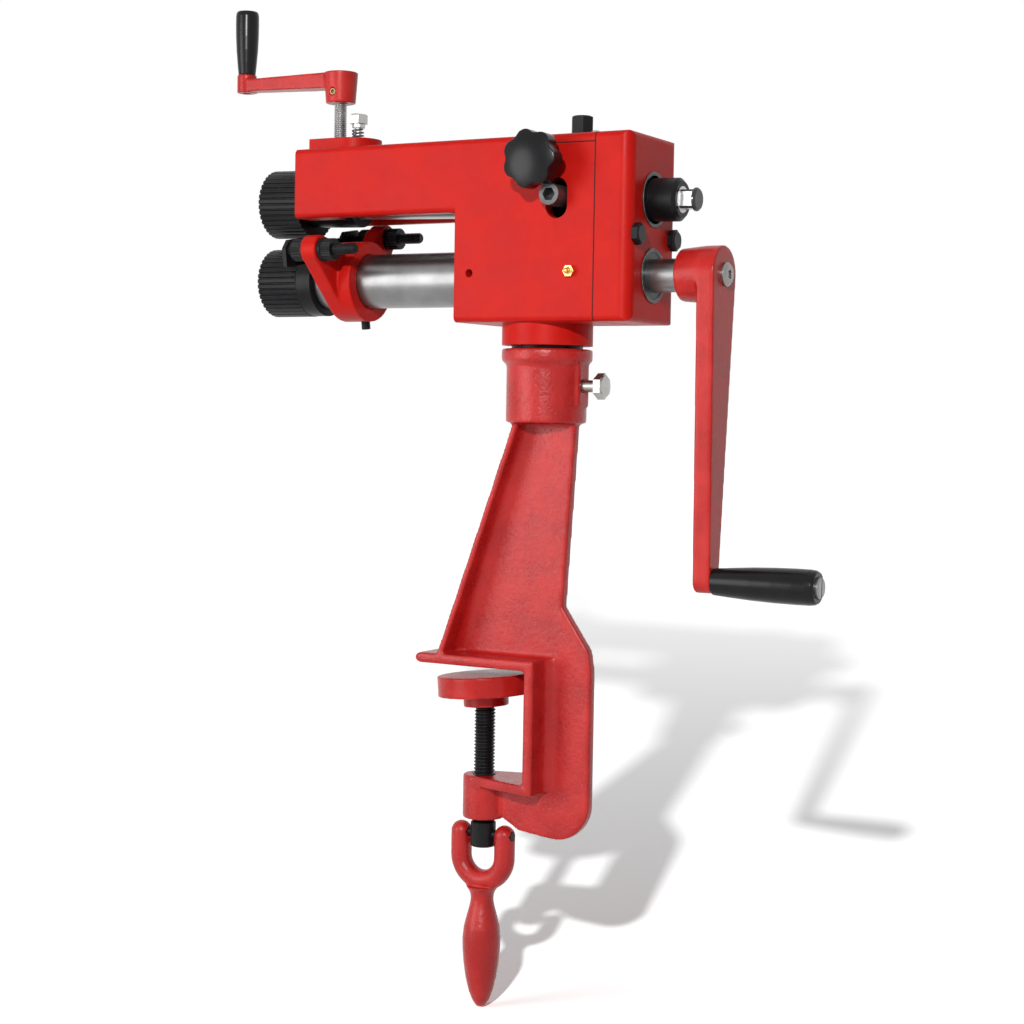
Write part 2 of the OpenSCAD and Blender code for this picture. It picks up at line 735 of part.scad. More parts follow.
module stand_casting() {
  flange_lean = atan((flange_foot_x - flange_head_x) / socket_low);
  translate([clamp_x, 0, 0])
  color([0.78, 0.1, 0.08])
  difference() {
    union() {
      intersection() {
        upright(-jaw_half, jaw_half) flange_side();
        crosswise(-jaw_reach, web_out) flange_front();
      }
      upright(-web_t / two, web_t / two) web_outline();
      box(-jaw_reach + jaw_t / two, jaw_t, -jaw_half, jaw_half, 0, jaw_t);
      translate([-jaw_reach + jaw_t / two, 0, jaw_t / two]) rod_y(-jaw_half, jaw_half, jaw_t / two);
      box(0, jaw_t, -jaw_half, jaw_half, lower_jaw_z - jaw_t, jaw_t);
      translate([0, 0, lower_jaw_z - jaw_t]) linear_extrude(jaw_t) lower_jaw_outline();
      translate([clamp_axis, 0, 0]) rod_z(boss_low, lower_jaw_z, clamp_boss_d / two);
      translate([jaw_t, 0, 0]) web_corner(lower_jaw_z - jaw_t, jaw_t);
      translate([flange_t - flange_foot_x, 0, 0]) rotate([0, flange_lean, 0])
        web_corner(jaw_t / two, (socket_low + jaw_t / two) / cos(flange_lean));
      rod_z(socket_low, socket_top, socket_d / two);
      rod_z(flange_z, socket_top, socket_flange_d / two);
      cone_z(flange_z - socket_chamfer, flange_z, socket_d / two, socket_flange_d / two);
      box(0, socket_pad_x, -socket_pad_half, socket_pad_half, socket_top - socket_pad_low,
        socket_top - socket_pad_high);
    }
    rod_z(socket_low + socket_floor, head_z, spindle_d / two + run_fit);
    translate([clamp_axis, 0, 0]) rod_z(boss_low - over, 0, clamp_d / two + run_fit);
    translate([0, 0, bolt_z]) rod_x(0, jaw_reach, socket_bolt_d / two + run_fit);
  }
}

module thrust_ring() {
  translate([clamp_x, 0, 0])
  color([0.2, 0.2, 0.2])
  difference() {
    rod_z(socket_top, socket_top + thrust_t - run_fit, socket_d / two - ring_edge);
    rod_z(socket_low, head_z, spindle_d / two + air);
  }
}

// Socket bolt, whose end presses on the spindle.
module socket_bolt() {
  head_in = socket_pad_x + socket_bolt_out;
  translate([clamp_x, 0, 0])
  color([0.7, 0.7, 0.68])
  translate([0, 0, bolt_z]) {
    rod_x(spindle_d / two + run_fit * two, head_in + edge_cut, socket_bolt_d / two);
    hex_head_x(head_in, socket_bolt_head, socket_bolt_flats);
  }
}

// Clamp: the pad swivels on a ball that the screw pushes up.
ball_rise_share = 0.17;
screw_top_share = 0.34;
ball_z = -(pad_drop + pad_t / two + ball_d * ball_rise_share);
screw_top = ball_z - ball_d * screw_top_share;
clamp_head_top = boss_low - clamp_head_gap;
clamp_head_low = clamp_head_top - clamp_head_h;
fork_pin_z = clamp_head_top - clamp_head_h / two;
fork_r = fork_arm_d / two;
fork_half = fork_pitch / two;

module thrust_ball() {
  translate([clamp_x, 0, 0])
  color([0.6, 0.6, 0.62])
  translate([clamp_axis, 0, ball_z]) sphere(r = ball_d / two);
}

module clamp_pad() {
  pad_low = -pad_drop - pad_t;
  translate([clamp_x, 0, 0])
  color([0.75, 0.08, 0.06])
  translate([clamp_axis, 0, ball_z]) rotate([0, -pad_tilt, 0]) translate([0, 0, -ball_z])
  difference() {
    union() {
      rod_z(pad_low, -pad_drop, pad_d / two);
      rod_z(pad_low - pad_hub_h, -pad_drop, pad_hub_d / two);
    }
    translate([0, 0, ball_z]) sphere(r = ball_d / two + run_fit);
    cone_z(pad_low - pad_hub_h - pad_play, ball_z, clamp_d / two + pad_play, ball_d / two + run_fit);
  }
}

module clamp_screw() {
  translate([clamp_x, 0, 0])
  color([0.12, 0.12, 0.12])
  translate([clamp_axis, 0, 0])
  difference() {
    union() {
      rod_z(clamp_head_low, screw_top, clamp_d / two);
      rod_z(clamp_head_low, clamp_head_top, clamp_head_d / two);
      cone_z(clamp_head_top, clamp_head_top + clamp_head_gap / two, clamp_head_d / two, clamp_d / two);
    }
    translate([0, 0, ball_z]) sphere(r = ball_d / two + run_fit);
    translate([0, 0, fork_pin_z]) rod_x(-clamp_d, clamp_d, fork_pin_d / two + seat_fit);
  }
}

module fork_pin() {
  pin_half = fork_half + fork_r - fork_pin_in;
  translate([clamp_x, 0, 0])
  color([0.3, 0.3, 0.3])
  translate([clamp_axis, 0, fork_pin_z]) rod_x(-pin_half, pin_half, fork_pin_d / two);
}

// Shares of the largest radius and of the length along the fork handle.
handle_profile = [[0, -0.02], [0.86, -0.02], [0.68, 0.02], [0.6, 0.06], [0.6, 0.1], [0.68, 0.16],
  [0.82, 0.24], [0.94, 0.32], [1, 0.41], [0.99, 0.5], [0.93, 0.62], [0.82, 0.74], [0.64, 0.86],
  [0.44, 0.94], [0.24, 0.985], [0, 1]];

module fork_handle() {
  neck_z = fork_blend - fork_leg - fork_half - fork_r;
  translate([clamp_x, 0, 0])
  color([0.75, 0.08, 0.06])
  translate([clamp_axis, 0, fork_pin_z])
  difference() {
    union() {
      for (s = sides) translate([s * fork_half, 0, 0]) {
        rod_z(-fork_leg, 0, fork_r);
        sphere(r = fork_r);
      }
      translate([0, 0, -fork_leg]) rotate([-quarter_turn, 0, 0]) rotate_extrude(angle = half_turn)
        translate([fork_half, 0]) circle(r = fork_r);
      translate([0, 0, neck_z]) rotate_extrude()
        polygon([for (q = handle_profile) [q[0] * handle_belly_d / two, -q[1] * handle_length]]);
    }
    rod_x(-fork_pitch, fork_pitch, fork_pin_d / two + run_fit);
  }
}

// Head casting, with the arm as a channel that is open below.
press_axis = -press_x;
lift_x = press_axis + lift_gap;
knob_z = head_top - knob_drop;
slot_z = upper_z - ring_drop;
roof_z = head_top - lid_t - roof_step;
lid_z = head_top - lid_t;
cover_bolt_z = (lower_z + upper_z) / two;
spring_low = boss_top + spring_show - spring_l;
hub_low = boss_top + hub_gap;
bolt_front = split_x - bolt_flats;
slot_rise = (slot_h - slot_w) / two;
lower_nipple_z = lower_z + nipple_rise;

module bolt_bosses(x0, x1) {
  for (s = sides) translate([0, s * bolt_side, cover_bolt_z]) rod_x(x0, x1, bolt_boss_d / two);
}

module bolt_holes(x0, x1) {
  for (s = sides) translate([0, s * bolt_side, cover_bolt_z]) rod_x(x0, x1, bolt_thread / two + seat_fit);
}

module head_casting() {
  guide_y = block_flats / two + run_fit;
  translate([clamp_x, 0, 0])
  color([0.82, 0.12, 0.1])
  difference() {
    union() {
      round_bar(-throat_wall, split_x, head_z, head_top, edge_r);
      round_bar(-arm_reach, -throat_wall + edge_r, arm_z, head_top, edge_r);
      difference() {
        box(-throat_wall - neck_r, -throat_wall, -half_y + edge_r, half_y - edge_r, arm_z - neck_r,
          arm_z + edge_r);
        translate([-throat_wall - neck_r, 0, arm_z - neck_r]) rod_y(-head_depth, head_depth, neck_r);
      }
      rod_z(socket_top + thrust_t, head_z + edge_r, foot_d / two);
      rod_z(socket_top + thrust_t - spindle_l, head_z, spindle_d / two);
      box(-arm_reach, press_axis + boss_shift, -boss_r, boss_r, head_top - edge_r, boss_top);
      translate([press_axis + boss_shift, 0, 0]) rod_z(head_top - edge_r, boss_top, boss_r);
    }
    // Channel under the arm, narrowed at the front to guide the bearing block.
    box(-arm_reach + guide_l, -chamber_front, -inner_y, inner_y, arm_z - edge_r, roof_z);
    box(-arm_reach - over, -arm_reach + guide_l + over, -guide_y, guide_y, arm_z - edge_r, roof_z);
    // Chamber for the sleeve and the rocking ring, with the bolt bosses and the bar under the lid.
    difference() {
      union() {
        box(-chamber_front - over, split_x + over, -inner_y, inner_y, upper_z - chamber_low, roof_z);
        box(pocket_front, split_x + over, -inner_y, inner_y, head_z + lower_floor, roof_z);
        box(lid_front + side_wall, split_x + over, -inner_y, inner_y, roof_z - over, head_top);
      }
      bolt_bosses(bolt_front - bolt_boss_d / two, split_x + over);
      box(lid_screw_x - bar_w / two, lid_screw_x + bar_w / two, -half_y, half_y, lid_z - bar_h, lid_z);
    }
    box(lid_front, split_x + over, -half_y - over, half_y + over, lid_z, boss_top);
    on_lower() rod_x(-throat_wall - over, tube_end, tube_r + seat_fit);
    // Long slot for the sleeve pin.
    for (s = sides) translate([sleeve_pin_x, 0, slot_z + s * slot_rise])
      rod_y(-half_y - over, -inner_y + over, slot_w / two);
    box(sleeve_pin_x - slot_w / two, sleeve_pin_x + slot_w / two, -half_y - over, -inner_y + over,
      slot_z - slot_rise, slot_z + slot_rise);
    translate([knob_x, 0, knob_z]) rod_y(-half_y - over, -inner_y + over, knob_stud_d / two + run_fit);
    translate([press_axis, 0, 0]) rod_z(arm_z, boss_top + over, press_d / two + run_fit);
    translate([lift_x, 0, 0]) rod_z(arm_z, boss_top + over, lift_d / two + lift_play);
    translate([lift_x, 0, 0]) rod_z(spring_low, boss_top + over, spring_d / two + air);
    translate([-side_hole_x, 0, lower_nipple_z])
      rod_y(-half_y - over, -tube_r - seat_floor, side_hole_d / two);
    translate([nipple_x, 0, lower_nipple_z])
      rod_y(-half_y - over, -inner_y + over, nipple_thread / two + seat_fit);
    // Blind holes for the pivot pins and holes for the cover bolts and the lid screw.
    translate([pivot_x, 0, upper_z])
      rod_y(-inner_y - pivot_pin_in, inner_y + pivot_pin_in, pivot_pin_d / two + seat_fit);
    bolt_holes(bolt_front, split_x + over);
    translate([lid_screw_x, 0, 0])
      rod_z(lid_z - bar_h - over, lid_z + over, lid_screw_thread / two + seat_fit);
  }
}

module chamber_lid() {
  translate([clamp_x, 0, 0])
  color([0.7, 0.1, 0.09])
  difference() {
    intersection() {
      round_bar(lid_front + run_fit, split_x, head_z, head_top, edge_r);
      box(0, split_x, -half_y, half_y, lid_z, head_top);
    }
    translate([lid_screw_x, 0, 0]) rod_z(roof_z, head_top + over, lid_screw_thread / two + seat_fit);
    translate([split_x - side_wall, -top_nipple_y, 0])
      rod_z(roof_z, head_top + over, nipple_thread / two + seat_fit);
  }
}

module lid_screw() {
  translate([clamp_x, 0, 0])
  color([0.1, 0.1, 0.1])
  translate([lid_screw_x, 0, 0]) {
    rod_z(lid_z - bar_h, head_top, lid_screw_thread / two);
    hex_head_z(head_top, lid_screw_h, lid_screw_flats);
  }
}

module rear_cover() {
  room_y = half_y - cover_wall * two;
  translate([clamp_x, 0, 0])
  color([0.72, 0.1, 0.09])
  difference() {
    intersection() {
      round_bar(split_x, cover_end, head_z, head_top, edge_r);
      translate([split_x - cover_corner_r * two, -half_y, head_z]) linear_extrude(head_h)
        round_rect(cover_depth + cover_corner_r * two, head_depth, cover_corner_r);
      upright(-half_y, half_y) translate([split_x - edge_r * two, head_z])
        round_rect(cover_depth + edge_r * two, head_h, edge_r);
    }
    difference() {
      box(split_x - over, cover_end - cover_wall, -room_y, room_y, head_z + cover_wall,
        head_top - cover_wall * two);
      bolt_bosses(split_x - over, cover_end);
    }
    on_lower() rod_x(cover_end - ring_in, cover_end + over, ring_d / two + seat_fit);
    translate([0, 0, upper_z - ring_drop])
      rod_x(cover_end - ring_in, cover_end + over, ring_d / two + seat_fit);
    bolt_holes(split_x - over, cover_end + over);
  }
}

module cover_bolts() {
  translate([clamp_x, 0, 0])
  color([0.1, 0.1, 0.1])
  for (s = sides) translate([0, s * bolt_side, cover_bolt_z]) {
    rod_x(bolt_front + over, cover_end + over, bolt_thread / two);
    hex_head_x(cover_end, bolt_head_h, bolt_flats);
  }
}

tube_front = roller_front - roller_w - band_w - bush_flange;
tube_bore = tube_r - tube_wall;

module support_tube() {
  translate([clamp_x, 0, 0])
  color([0.72, 0.72, 0.72])
  on_lower() difference() {
    rod_x(-tube_front + run_fit, tube_end, tube_r);
    rod_x(-roller_front, tube_end + over, tube_bore);
  }
}

module front_bush() {
  translate([clamp_x, 0, 0])
  color([0.75, 0.6, 0.3])
  on_lower() difference() {
    union() {
      rod_x(-tube_front, -tube_front + bush_l, tube_bore - seat_fit);
      rod_x(-tube_front - bush_flange + air / two, -tube_front, tube_r - bush_edge);
    }
    rod_x(-roller_front, 0, shaft_r + run_fit);
  }
}

module middle_bush() {
  translate([clamp_x, 0, 0])
  color([0.75, 0.6, 0.3])
  on_lower() difference() {
    rod_x(tube_end - bush_l, tube_end, tube_bore - seat_fit);
    rod_x(-roller_front, cover_end, shaft_r + run_fit);
  }
}

module lower_rear_bush() {
  translate([clamp_x, 0, 0])
  color([0.15, 0.15, 0.15])
  on_lower() difference() {
    rod_x(cover_end - ring_in, cover_end + ring_out, ring_d / two);
    rod_x(0, crank_face, shaft_r + run_fit);
    rod_x(cover_end, crank_face, ring_d / two - ring_lip);
  }
}

module upper_rear_ring() {
  translate([clamp_x, 0, 0])
  color([0.15, 0.15, 0.15])
  translate([0, 0, upper_z - ring_drop]) difference() {
    rod_x(cover_end - ring_in, cover_end + ring_out, ring_d / two);
    rod_x(0, crank_face, upper_ring_bore / two);
  }
}

module pivot_pins() {
  pin_out = inner_y + pivot_pin_in;
  pin_in = sleeve_d / two + over;
  translate([clamp_x, 0, 0])
  color([0.5, 0.5, 0.5])
  translate([pivot_x, 0, upper_z]) {
    rod_y(-pin_out, -pin_in, pivot_pin_d / two);
    rod_y(pin_in, pin_out, pivot_pin_d / two);
  }
}

module side_nipple() {
  translate([clamp_x, 0, 0])
  color([0.8, 0.65, 0.25])
  translate([nipple_x, -half_y, lower_nipple_z]) rotate([quarter_turn, 0, 0]) {
    hex_z(0, nipple_hex_h, nipple_hex);
    rod_z(-side_wall + run_fit, over, nipple_thread / two);
    cone_z(nipple_hex_h, nipple_hex_h + edge_cut, nipple_thread / two, nipple_neck_d / two);
    rod_z(nipple_hex_h, nipple_l - nipple_ball_d / two, nipple_neck_d / two);
    translate([0, 0, nipple_l - nipple_ball_d / two]) sphere(r = nipple_ball_d / two);
  }
}

module top_nipple() {
  translate([clamp_x, 0, 0])
  color([0.75, 0.75, 0.75])
  translate([split_x - side_wall, -top_nipple_y, head_top]) {
    rod_z(-lid_t + run_fit, over, nipple_thread / two);
    intersection() {
      translate([0, 0, -dome_sink]) sphere(r = dome_r);
      rod_z(0, dome_r, dome_r);
    }
  }
}

// Lift spring, one tube of wire with eight rings to a turn.
wire_sides = 6;
rings_per_turn = 8;
spring_count = spring_turns * rings_per_turn;
coil_r = (spring_d - spring_wire) / two;
wire_r = spring_wire / two;
coil_rise = (spring_l - spring_wire - wire_r) / spring_turns;
spring_mid = [for (i = [0:spring_count]) let (a = full_turn * i / rings_per_turn)
  [coil_r * cos(a), coil_r * sin(a), spring_low + wire_r + run_fit + coil_rise * i / rings_per_turn]];
spring_ring = [for (i = [0:spring_count]) for (k = [0:wire_sides - 1])
  let (a = full_turn * i / rings_per_turn, b = full_turn * k / wire_sides)
  spring_mid[i] + [wire_r * cos(b) * cos(a), wire_r * cos(b) * sin(a), wire_r * sin(b)]];
spring_skin = concat(
  [[for (k = [0:wire_sides - 1]) k]],
  [for (i = [0:spring_count - 1]) for (k = [0:wire_sides - 1])
    let (a = i * wire_sides + k, b = i * wire_sides + (k + 1) % wire_sides) [a, a + wire_sides,
      b + wire_sides]],
  [for (i = [0:spring_count - 1]) for (k = [0:wire_sides - 1])
    let (a = i * wire_sides + k, b = i * wire_sides + (k + 1) % wire_sides) [a, b + wire_sides, b]],
  [[for (k = [wire_sides - 1:-1:0]) spring_count * wire_sides + k]]);
spring_gaps = [for (i = [0:spring_count - rings_per_turn], k = [0:wire_sides - 1], m = [0:wire_sides - 1])
  norm(spring_ring[i * wire_sides + k] - spring_ring[(i + rings_per_turn) * wire_sides + m])];
echo(least_gap_of_spring_to_itself = min(spring_gaps));

module lift_spring() {
  translate([clamp_x, 0, 0])
  color([0.7, 0.7, 0.7])
  translate([lift_x, 0, 0]) polyhedron(points = spring_ring, faces = spring_skin);
}

// Shares of a tooth: height over the root, then place along the pitch.
roller_tooth = [[0, 0], [1, 0.16], [1, 0.72], [0, 0.88]];
gear_tooth = [[0, -0.27], [1, -0.1], [1, 0.1], [0, 0.27]];
roller_back = roller_front - roller_w;
roller_root = roller_r - roller_tooth_h;

module toothed_shape(count, root, tip, tooth, shift) {
  step = full_turn / count;
  polygon([for (i = [0:count - 1], q = tooth)
    let (a = (i + q[1] + shift) * step, r = root + (tip - root) * q[0]) [r * cos(a), r * sin(a)]]);
}

// Roller with a plain band behind its teeth, which is left out for a band of no width.
module roller(band) {
  back = -roller_back + band;
  difference() {
    union() {
      translate([-roller_front, 0, 0]) rotate([0, quarter_turn, 0]) linear_extrude(roller_w)
        toothed_shape(roller_teeth, roller_root, roller_r, roller_tooth, 0);
      rod_x(-roller_back - roller_w / two, back, roller_root);
      if (band > 0) rod_x(-roller_back, back, roller_r - band_step);
    }
    rod_x(-roller_front - over, back + over, shaft_r + seat_fit);
    rod_x(-roller_front - over, -roller_front + sink_h, sink_d / two);
  }
}

module roller_screw() {
  floor_x = -roller_front + sink_h;
  rod_x(floor_x - washer_t, floor_x, sink_d / two - over);
  hex_x(-roller_front + over, floor_x - washer_t, roller_screw_flats);
  rod_x(floor_x - over, -roller_back, roller_screw_d / two);
}

module shaft_front_bore() {
  rod_x(-roller_front, -roller_back + washer_t, roller_screw_d / two + seat_fit);
}

module lower_shaft() {
  translate([clamp_x, 0, 0])
  color([0.75, 0.75, 0.75])
  on_lower() difference() {
    union() {
      rod_x(-roller_front + sink_h, hub_start, shaft_r);
      rod_x(hub_start - over, crank_face - shaft_end_in, crank_seat_d / two);
    }
    shaft_front_bore();
    rod_x(crank_face - crank_screw_l - over, crank_face, roller_screw_d / two + seat_fit);
  }
}

module gear_body(shift) {
  difference() {
    translate([gear_front, 0, 0]) rotate([0, quarter_turn, 0]) linear_extrude(gear_w)
      toothed_shape(gear_teeth, gear_root_d / two, gear_d / two, gear_tooth, shift);
    rod_x(gear_front - over, gear_front + gear_w + over, shaft_r + seat_fit);
  }
}

module lower_gear() {
  translate([clamp_x, 0, 0])
  color([0.45, 0.45, 0.47])
  on_lower() gear_body(0);
}

module lower_roller() {
  translate([clamp_x, 0, 0])
  color([0.12, 0.12, 0.12])
  on_lower() roller(band_w);
}

module lower_roller_screw() {
  translate([clamp_x, 0, 0])
  color([0.3, 0.3, 0.3])
  on_lower() roller_screw();
}

// Drive crank, hanging down with a small lean.
module on_crank() {
  on_lower() rotate([-crank_lean, 0, 0]) children();
}

crank_eye_r = crank_end_w / two;
crank_back = crank_face - crank_t;
grip_start = crank_face + air;
grip_end = grip_start + grip_length;

module crank_outline() {
  polygon([[0, -hub_d / two], [0, hub_d / two], [crank_r, crank_eye_r], [crank_r, -crank_eye_r]]);
}

module drive_crank() {
  translate([clamp_x, 0, 0])
  color([0.82, 0.12, 0.1])
  on_crank() difference() {
    union() {
      cone_x(hub_start, crank_back, hub_front_d / two, hub_d / two);
      rod_x(crank_back, crank_face, hub_d / two);
      translate([crank_back, 0, 0]) rotate([0, quarter_turn, 0]) linear_extrude(crank_t) crank_outline();
      translate([0, 0, -crank_r]) rod_x(crank_back, crank_face, crank_eye_r);
    }
    rod_x(hub_start - over, crank_face - shaft_end_in + seat_fit, crank_seat_d / two + seat_fit);
    rod_x(hub_start, crank_face + over, roller_screw_d / two + seat_fit);
    translate([0, 0, -crank_r]) rod_x(hub_start, crank_face + over, grip_pin_d / two + seat_fit);
  }
}

module drive_crank_screw() {
  dome_mid = crank_face + dome_h / two;
  translate([clamp_x, 0, 0])
  color([0.6, 0.6, 0.6])
  on_crank() difference() {
    union() {
      rod_x(crank_face - crank_screw_l, crank_face + edge_cut, roller_screw_d / two);
      rod_x(crank_face, dome_mid, crank_screw_d / two);
      cone_x(dome_mid, crank_face + dome_h, crank_screw_d / two, crank_screw_d / two - dome_h / two);
    }
    hex_x(dome_mid, crank_face + dome_h + over, dome_socket);
  }
}

module drive_grip_pin() {
  head_x = grip_end - grip_sink + run_fit;
  pin_end = grip_end + pin_show;
  translate([clamp_x, 0, 0])
  color([0.8, 0.8, 0.8])
  on_crank() translate([0, 0, -crank_r]) difference() {
    union() {
      rod_x(crank_back + over, head_x + over, grip_pin_d / two);
      rod_x(head_x, pin_end - edge_cut, grip_head_d / two);
      cone_x(pin_end - edge_cut, pin_end, grip_head_d / two, grip_head_d / two - edge_cut);
    }
    box(grip_end, pin_end + over, -pin_slot / two, pin_slot / two, -grip_head_d, grip_head_d);
  }
}

// Shares along a grip: length, size and mix between its small and its large diameter.
grip_profile = [[0, 1, 0], [0.015, 1.02, 0], [0.18, 1, 0.38], [0.38, 1, 0.72], [0.6, 1, 0.93],
  [0.8, 1, 1], [0.93, 1, 0.97], [0.975, 0.97, 0.93], [1, 0.9, 0.84]];

module grip_shape(length, small, big, bore) {
  rotate_extrude() polygon(concat([[bore, 0]],
    [for (q = grip_profile) [(small + (big - small) * q[2]) / two * q[1], q[0] * length]], [[bore, length]]));
}

module drive_grip() {
  translate([clamp_x, 0, 0])
  color([0.1, 0.1, 0.1])
  on_crank() translate([grip_start, 0, -crank_r]) rotate([0, quarter_turn, 0]) difference() {
    grip_shape(grip_length, grip_small, grip_big, grip_pin_d / two + run_fit);
    rod_z(grip_length - grip_sink, grip_length + over, grip_head_d / two + air / two);
  }
}

// Rocking carrier: front block, lift bolt and rocking ring on the upper shaft.
block_front = press_x + block_l / two;
block_back = press_x - block_l / two;
lift_mid_share = 0.75;
lift_foot_x = lift_x - (boss_top - upper_z) * sin(open_tilt) * lift_mid_share;

module front_block() {
  translate([clamp_x, 0, 0])
  color([0.13, 0.13, 0.14])
  on_upper() difference() {
    intersection() {
      union() {
        rod_x(-block_front, -block_back, block_r);
        box(-block_front, -block_back, -block_r, block_r, 0, block_top);
      }
      box(-block_front, -block_back, -block_flats / two, block_flats / two, -block_r, block_top);
    }
    rod_x(-roller_front, 0, shaft_r + run_fit);
    translate([lift_foot_x, 0, 0]) rod_z(shaft_r + seat_floor, block_top + over, lift_d / two + seat_fit);
  }
}

module rocking_ring() {
  translate([clamp_x, 0, 0])
  color([0.4, 0.4, 0.42])
  on_upper() difference() {
    rod_x(pivot_x - rock_w / two, pivot_x + rock_w / two, rock_d / two);
    rod_x(0, cover_end, sleeve_d / two + run_fit);
    translate([pivot_x, 0, 0]) rod_y(-rock_d, rock_d, pivot_pin_d / two + run_fit);
  }
}

module lift_bolt() {
  collar_z = boss_top + spring_show - upper_z - (pivot_x - lift_foot_x) * sin(open_tilt);
  translate([clamp_x, 0, 0])
  color([0.72, 0.72, 0.7])
  on_upper() translate([lift_foot_x, 0, 0]) {
    rod_z(shaft_r + seat_floor, collar_z + over, lift_d / two);
    rod_z(collar_z, collar_z + lift_collar_h, lift_collar_d / two);
    hex_head_z(collar_z + lift_collar_h, lift_head_h, lift_flats);
  }
}

module adjusting_sleeve() {
  translate([clamp_x, 0, 0])
  color([0.13, 0.13, 0.14])
  on_upper() difference() {
    rod_x(sleeve_front, pivot_x + rock_w / two + sleeve_back, sleeve_d / two);
    rod_x(0, cover_end, shaft_r + run_fit);
    translate([sleeve_pin_x, 0, 0]) rod_y(-sleeve_d, 0, sleeve_pin_seat / two + seat_fit);
  }
}

module sleeve_pin() {
  step_y = -sleeve_d / two - over;
  translate([clamp_x, 0, 0])
  color([0.2, 0.2, 0.2])
  on_upper() translate([sleeve_pin_x, 0, 0]) difference() {
    union() {
      rod_y(-half_y - sleeve_pin_out, step_y, sleeve_pin_d / two);
      rod_y(step_y - over, -shaft_r - seat_floor, sleeve_pin_seat / two);
    }
    translate([0, -half_y - sleeve_pin_out - over, 0]) rotate([-quarter_turn, 0, 0])
      hex_z(0, side_wall, sleeve_socket);
  }
}

module upper_shaft() {
  translate([clamp_x, 0, 0])
  color([0.75, 0.75, 0.75])
  on_upper() difference() {
    union() {
      rod_x(-roller_front + sink_h, cover_end, shaft_r);
      rod_x(cover_end - over, collar_end, crank_seat_d / two);
      intersection() {
        rod_x(collar_end - over, tail_end - tail_chamfer, tail_d / two);
        box(0, tail_end, -tail_flats / two, tail_flats / two, -tail_flats / two, tail_flats / two);
      }
      rod_x(tail_end - tail_chamfer * two, tail_end - tail_chamfer, tail_d / two);
      cone_x(tail_end - tail_chamfer, tail_end, tail_d / two, tail_d / two - tail_chamfer);
    }
    shaft_front_bore();
  }
}

module upper_gear() {
  translate([clamp_x, 0, 0])
  color([0.45, 0.45, 0.47])
  on_upper() gear_body(half_share);
}

module upper_roller() {
  translate([clamp_x, 0, 0])
  color([0.12, 0.12, 0.12])
  on_upper() roller(0);
}

module upper_roller_screw() {
  translate([clamp_x, 0, 0])
  color([0.3, 0.3, 0.3])
  on_upper() roller_screw();
}

module rear_collar() {
  bevel_x = collar_end - collar_chamfer;
  translate([clamp_x, 0, 0])
  color([0.12, 0.12, 0.13])
  on_upper() difference() {
    union() {
      rod_x(cover_end - ring_in, bevel_x, collar_d / two);
      cone_x(bevel_x, collar_end, collar_d / two, collar_d / two - collar_chamfer);
    }
    rod_x(0, cover_end, shaft_r + seat_fit);
    rod_x(0, tail_end, crank_seat_d / two + seat_fit);
  }
}

// Press screw, its button on the block and the top crank.
button_z = upper_z + (press_x + pivot_x + button_d / two) * sin(open_tilt) + block_top;
button_top = button_z + button_t;
screw_end = hub_low + top_hub_h - hub_cap;

module thrust_button() {
  translate([clamp_x, 0, 0])
  color([0.4, 0.4, 0.4])
  translate([press_axis, 0, 0]) difference() {
    rod_z(button_z, button_top, button_d / two);
    rod_z(button_z + button_t / two, button_top + over, nose_d / two + run_fit);
  }
}

module press_screw() {
  translate([clamp_x, 0, 0])
  color([0.6, 0.6, 0.6])
  translate([press_axis, 0, 0]) {
    rod_z(button_top + run_fit, screw_end, press_d / two);
    rod_z(button_z + button_t / two + run_fit, button_top + over, nose_d / two);
  }
}

top_arm_z = hub_low + top_hub_h - top_arm_t;
top_eye_low = top_arm_z - top_eye_drop;
top_eye_top = top_eye_low + top_eye_h;
top_grip_z = top_eye_top + air;
top_head_z = top_grip_z + top_grip_l - grip_sink + run_fit;

module top_arm_outline() {
  polygon([[0, -top_arm_w / two], [0, top_arm_w / two], [-top_crank_r, top_arm_end_w / two],
    [-top_crank_r, -top_arm_end_w / two]]);
}

module top_arm_side() {
  arm_top = hub_low + top_hub_h;
  polygon([[0, arm_top], [-top_crank_r, arm_top], [-top_crank_r, top_arm_z], [0, arm_top - top_arm_hub_t]]);
}

module top_crank() {
  translate([clamp_x, 0, 0])
  color([0.82, 0.12, 0.1])
  translate([press_axis, 0, 0]) difference() {
    union() {
      cone_z(hub_low, hub_low + top_hub_h, top_hub_low_d / two, top_hub_d / two);
      intersection() {
        translate([0, 0, hub_low]) linear_extrude(top_hub_h) top_arm_outline();
        upright(-top_arm_w, top_arm_w) top_arm_side();
      }
      translate([-top_crank_r, 0, 0]) rod_z(top_eye_low, top_eye_top, top_eye_d / two);
    }
    rod_z(hub_low - over, screw_end + seat_fit, press_d / two + seat_fit);
    translate([-top_crank_r, 0, 0]) rod_z(top_eye_low - over, top_eye_top + over, top_pin_d / two + seat_fit);
    translate([0, 0, hub_low + grub_rise]) rod_y(-top_hub_d, 0, grub_d / two);
  }
}

module top_grip_pin() {
  translate([clamp_x, 0, 0])
  color([0.7, 0.7, 0.7])
  translate([press_axis - top_crank_r, 0, 0]) {
    rod_z(top_eye_low + over, top_head_z + over, top_pin_d / two);
    rod_z(top_head_z, top_grip_z + top_grip_l - edge_cut, top_pin_head_d / two);
  }
}

module top_grip() {
  translate([clamp_x, 0, 0])
  color([0.1, 0.1, 0.1])
  translate([press_axis - top_crank_r, 0, top_grip_z]) difference() {
    grip_shape(top_grip_l, top_grip_small, top_grip_big, top_pin_d / two + run_fit);
    rod_z(top_grip_l - grip_sink, top_grip_l + over, top_pin_head_d / two + air / two);
  }
}

// Lock knob with its stud.
hollow_share = 0.64;
base_share = 0.25;

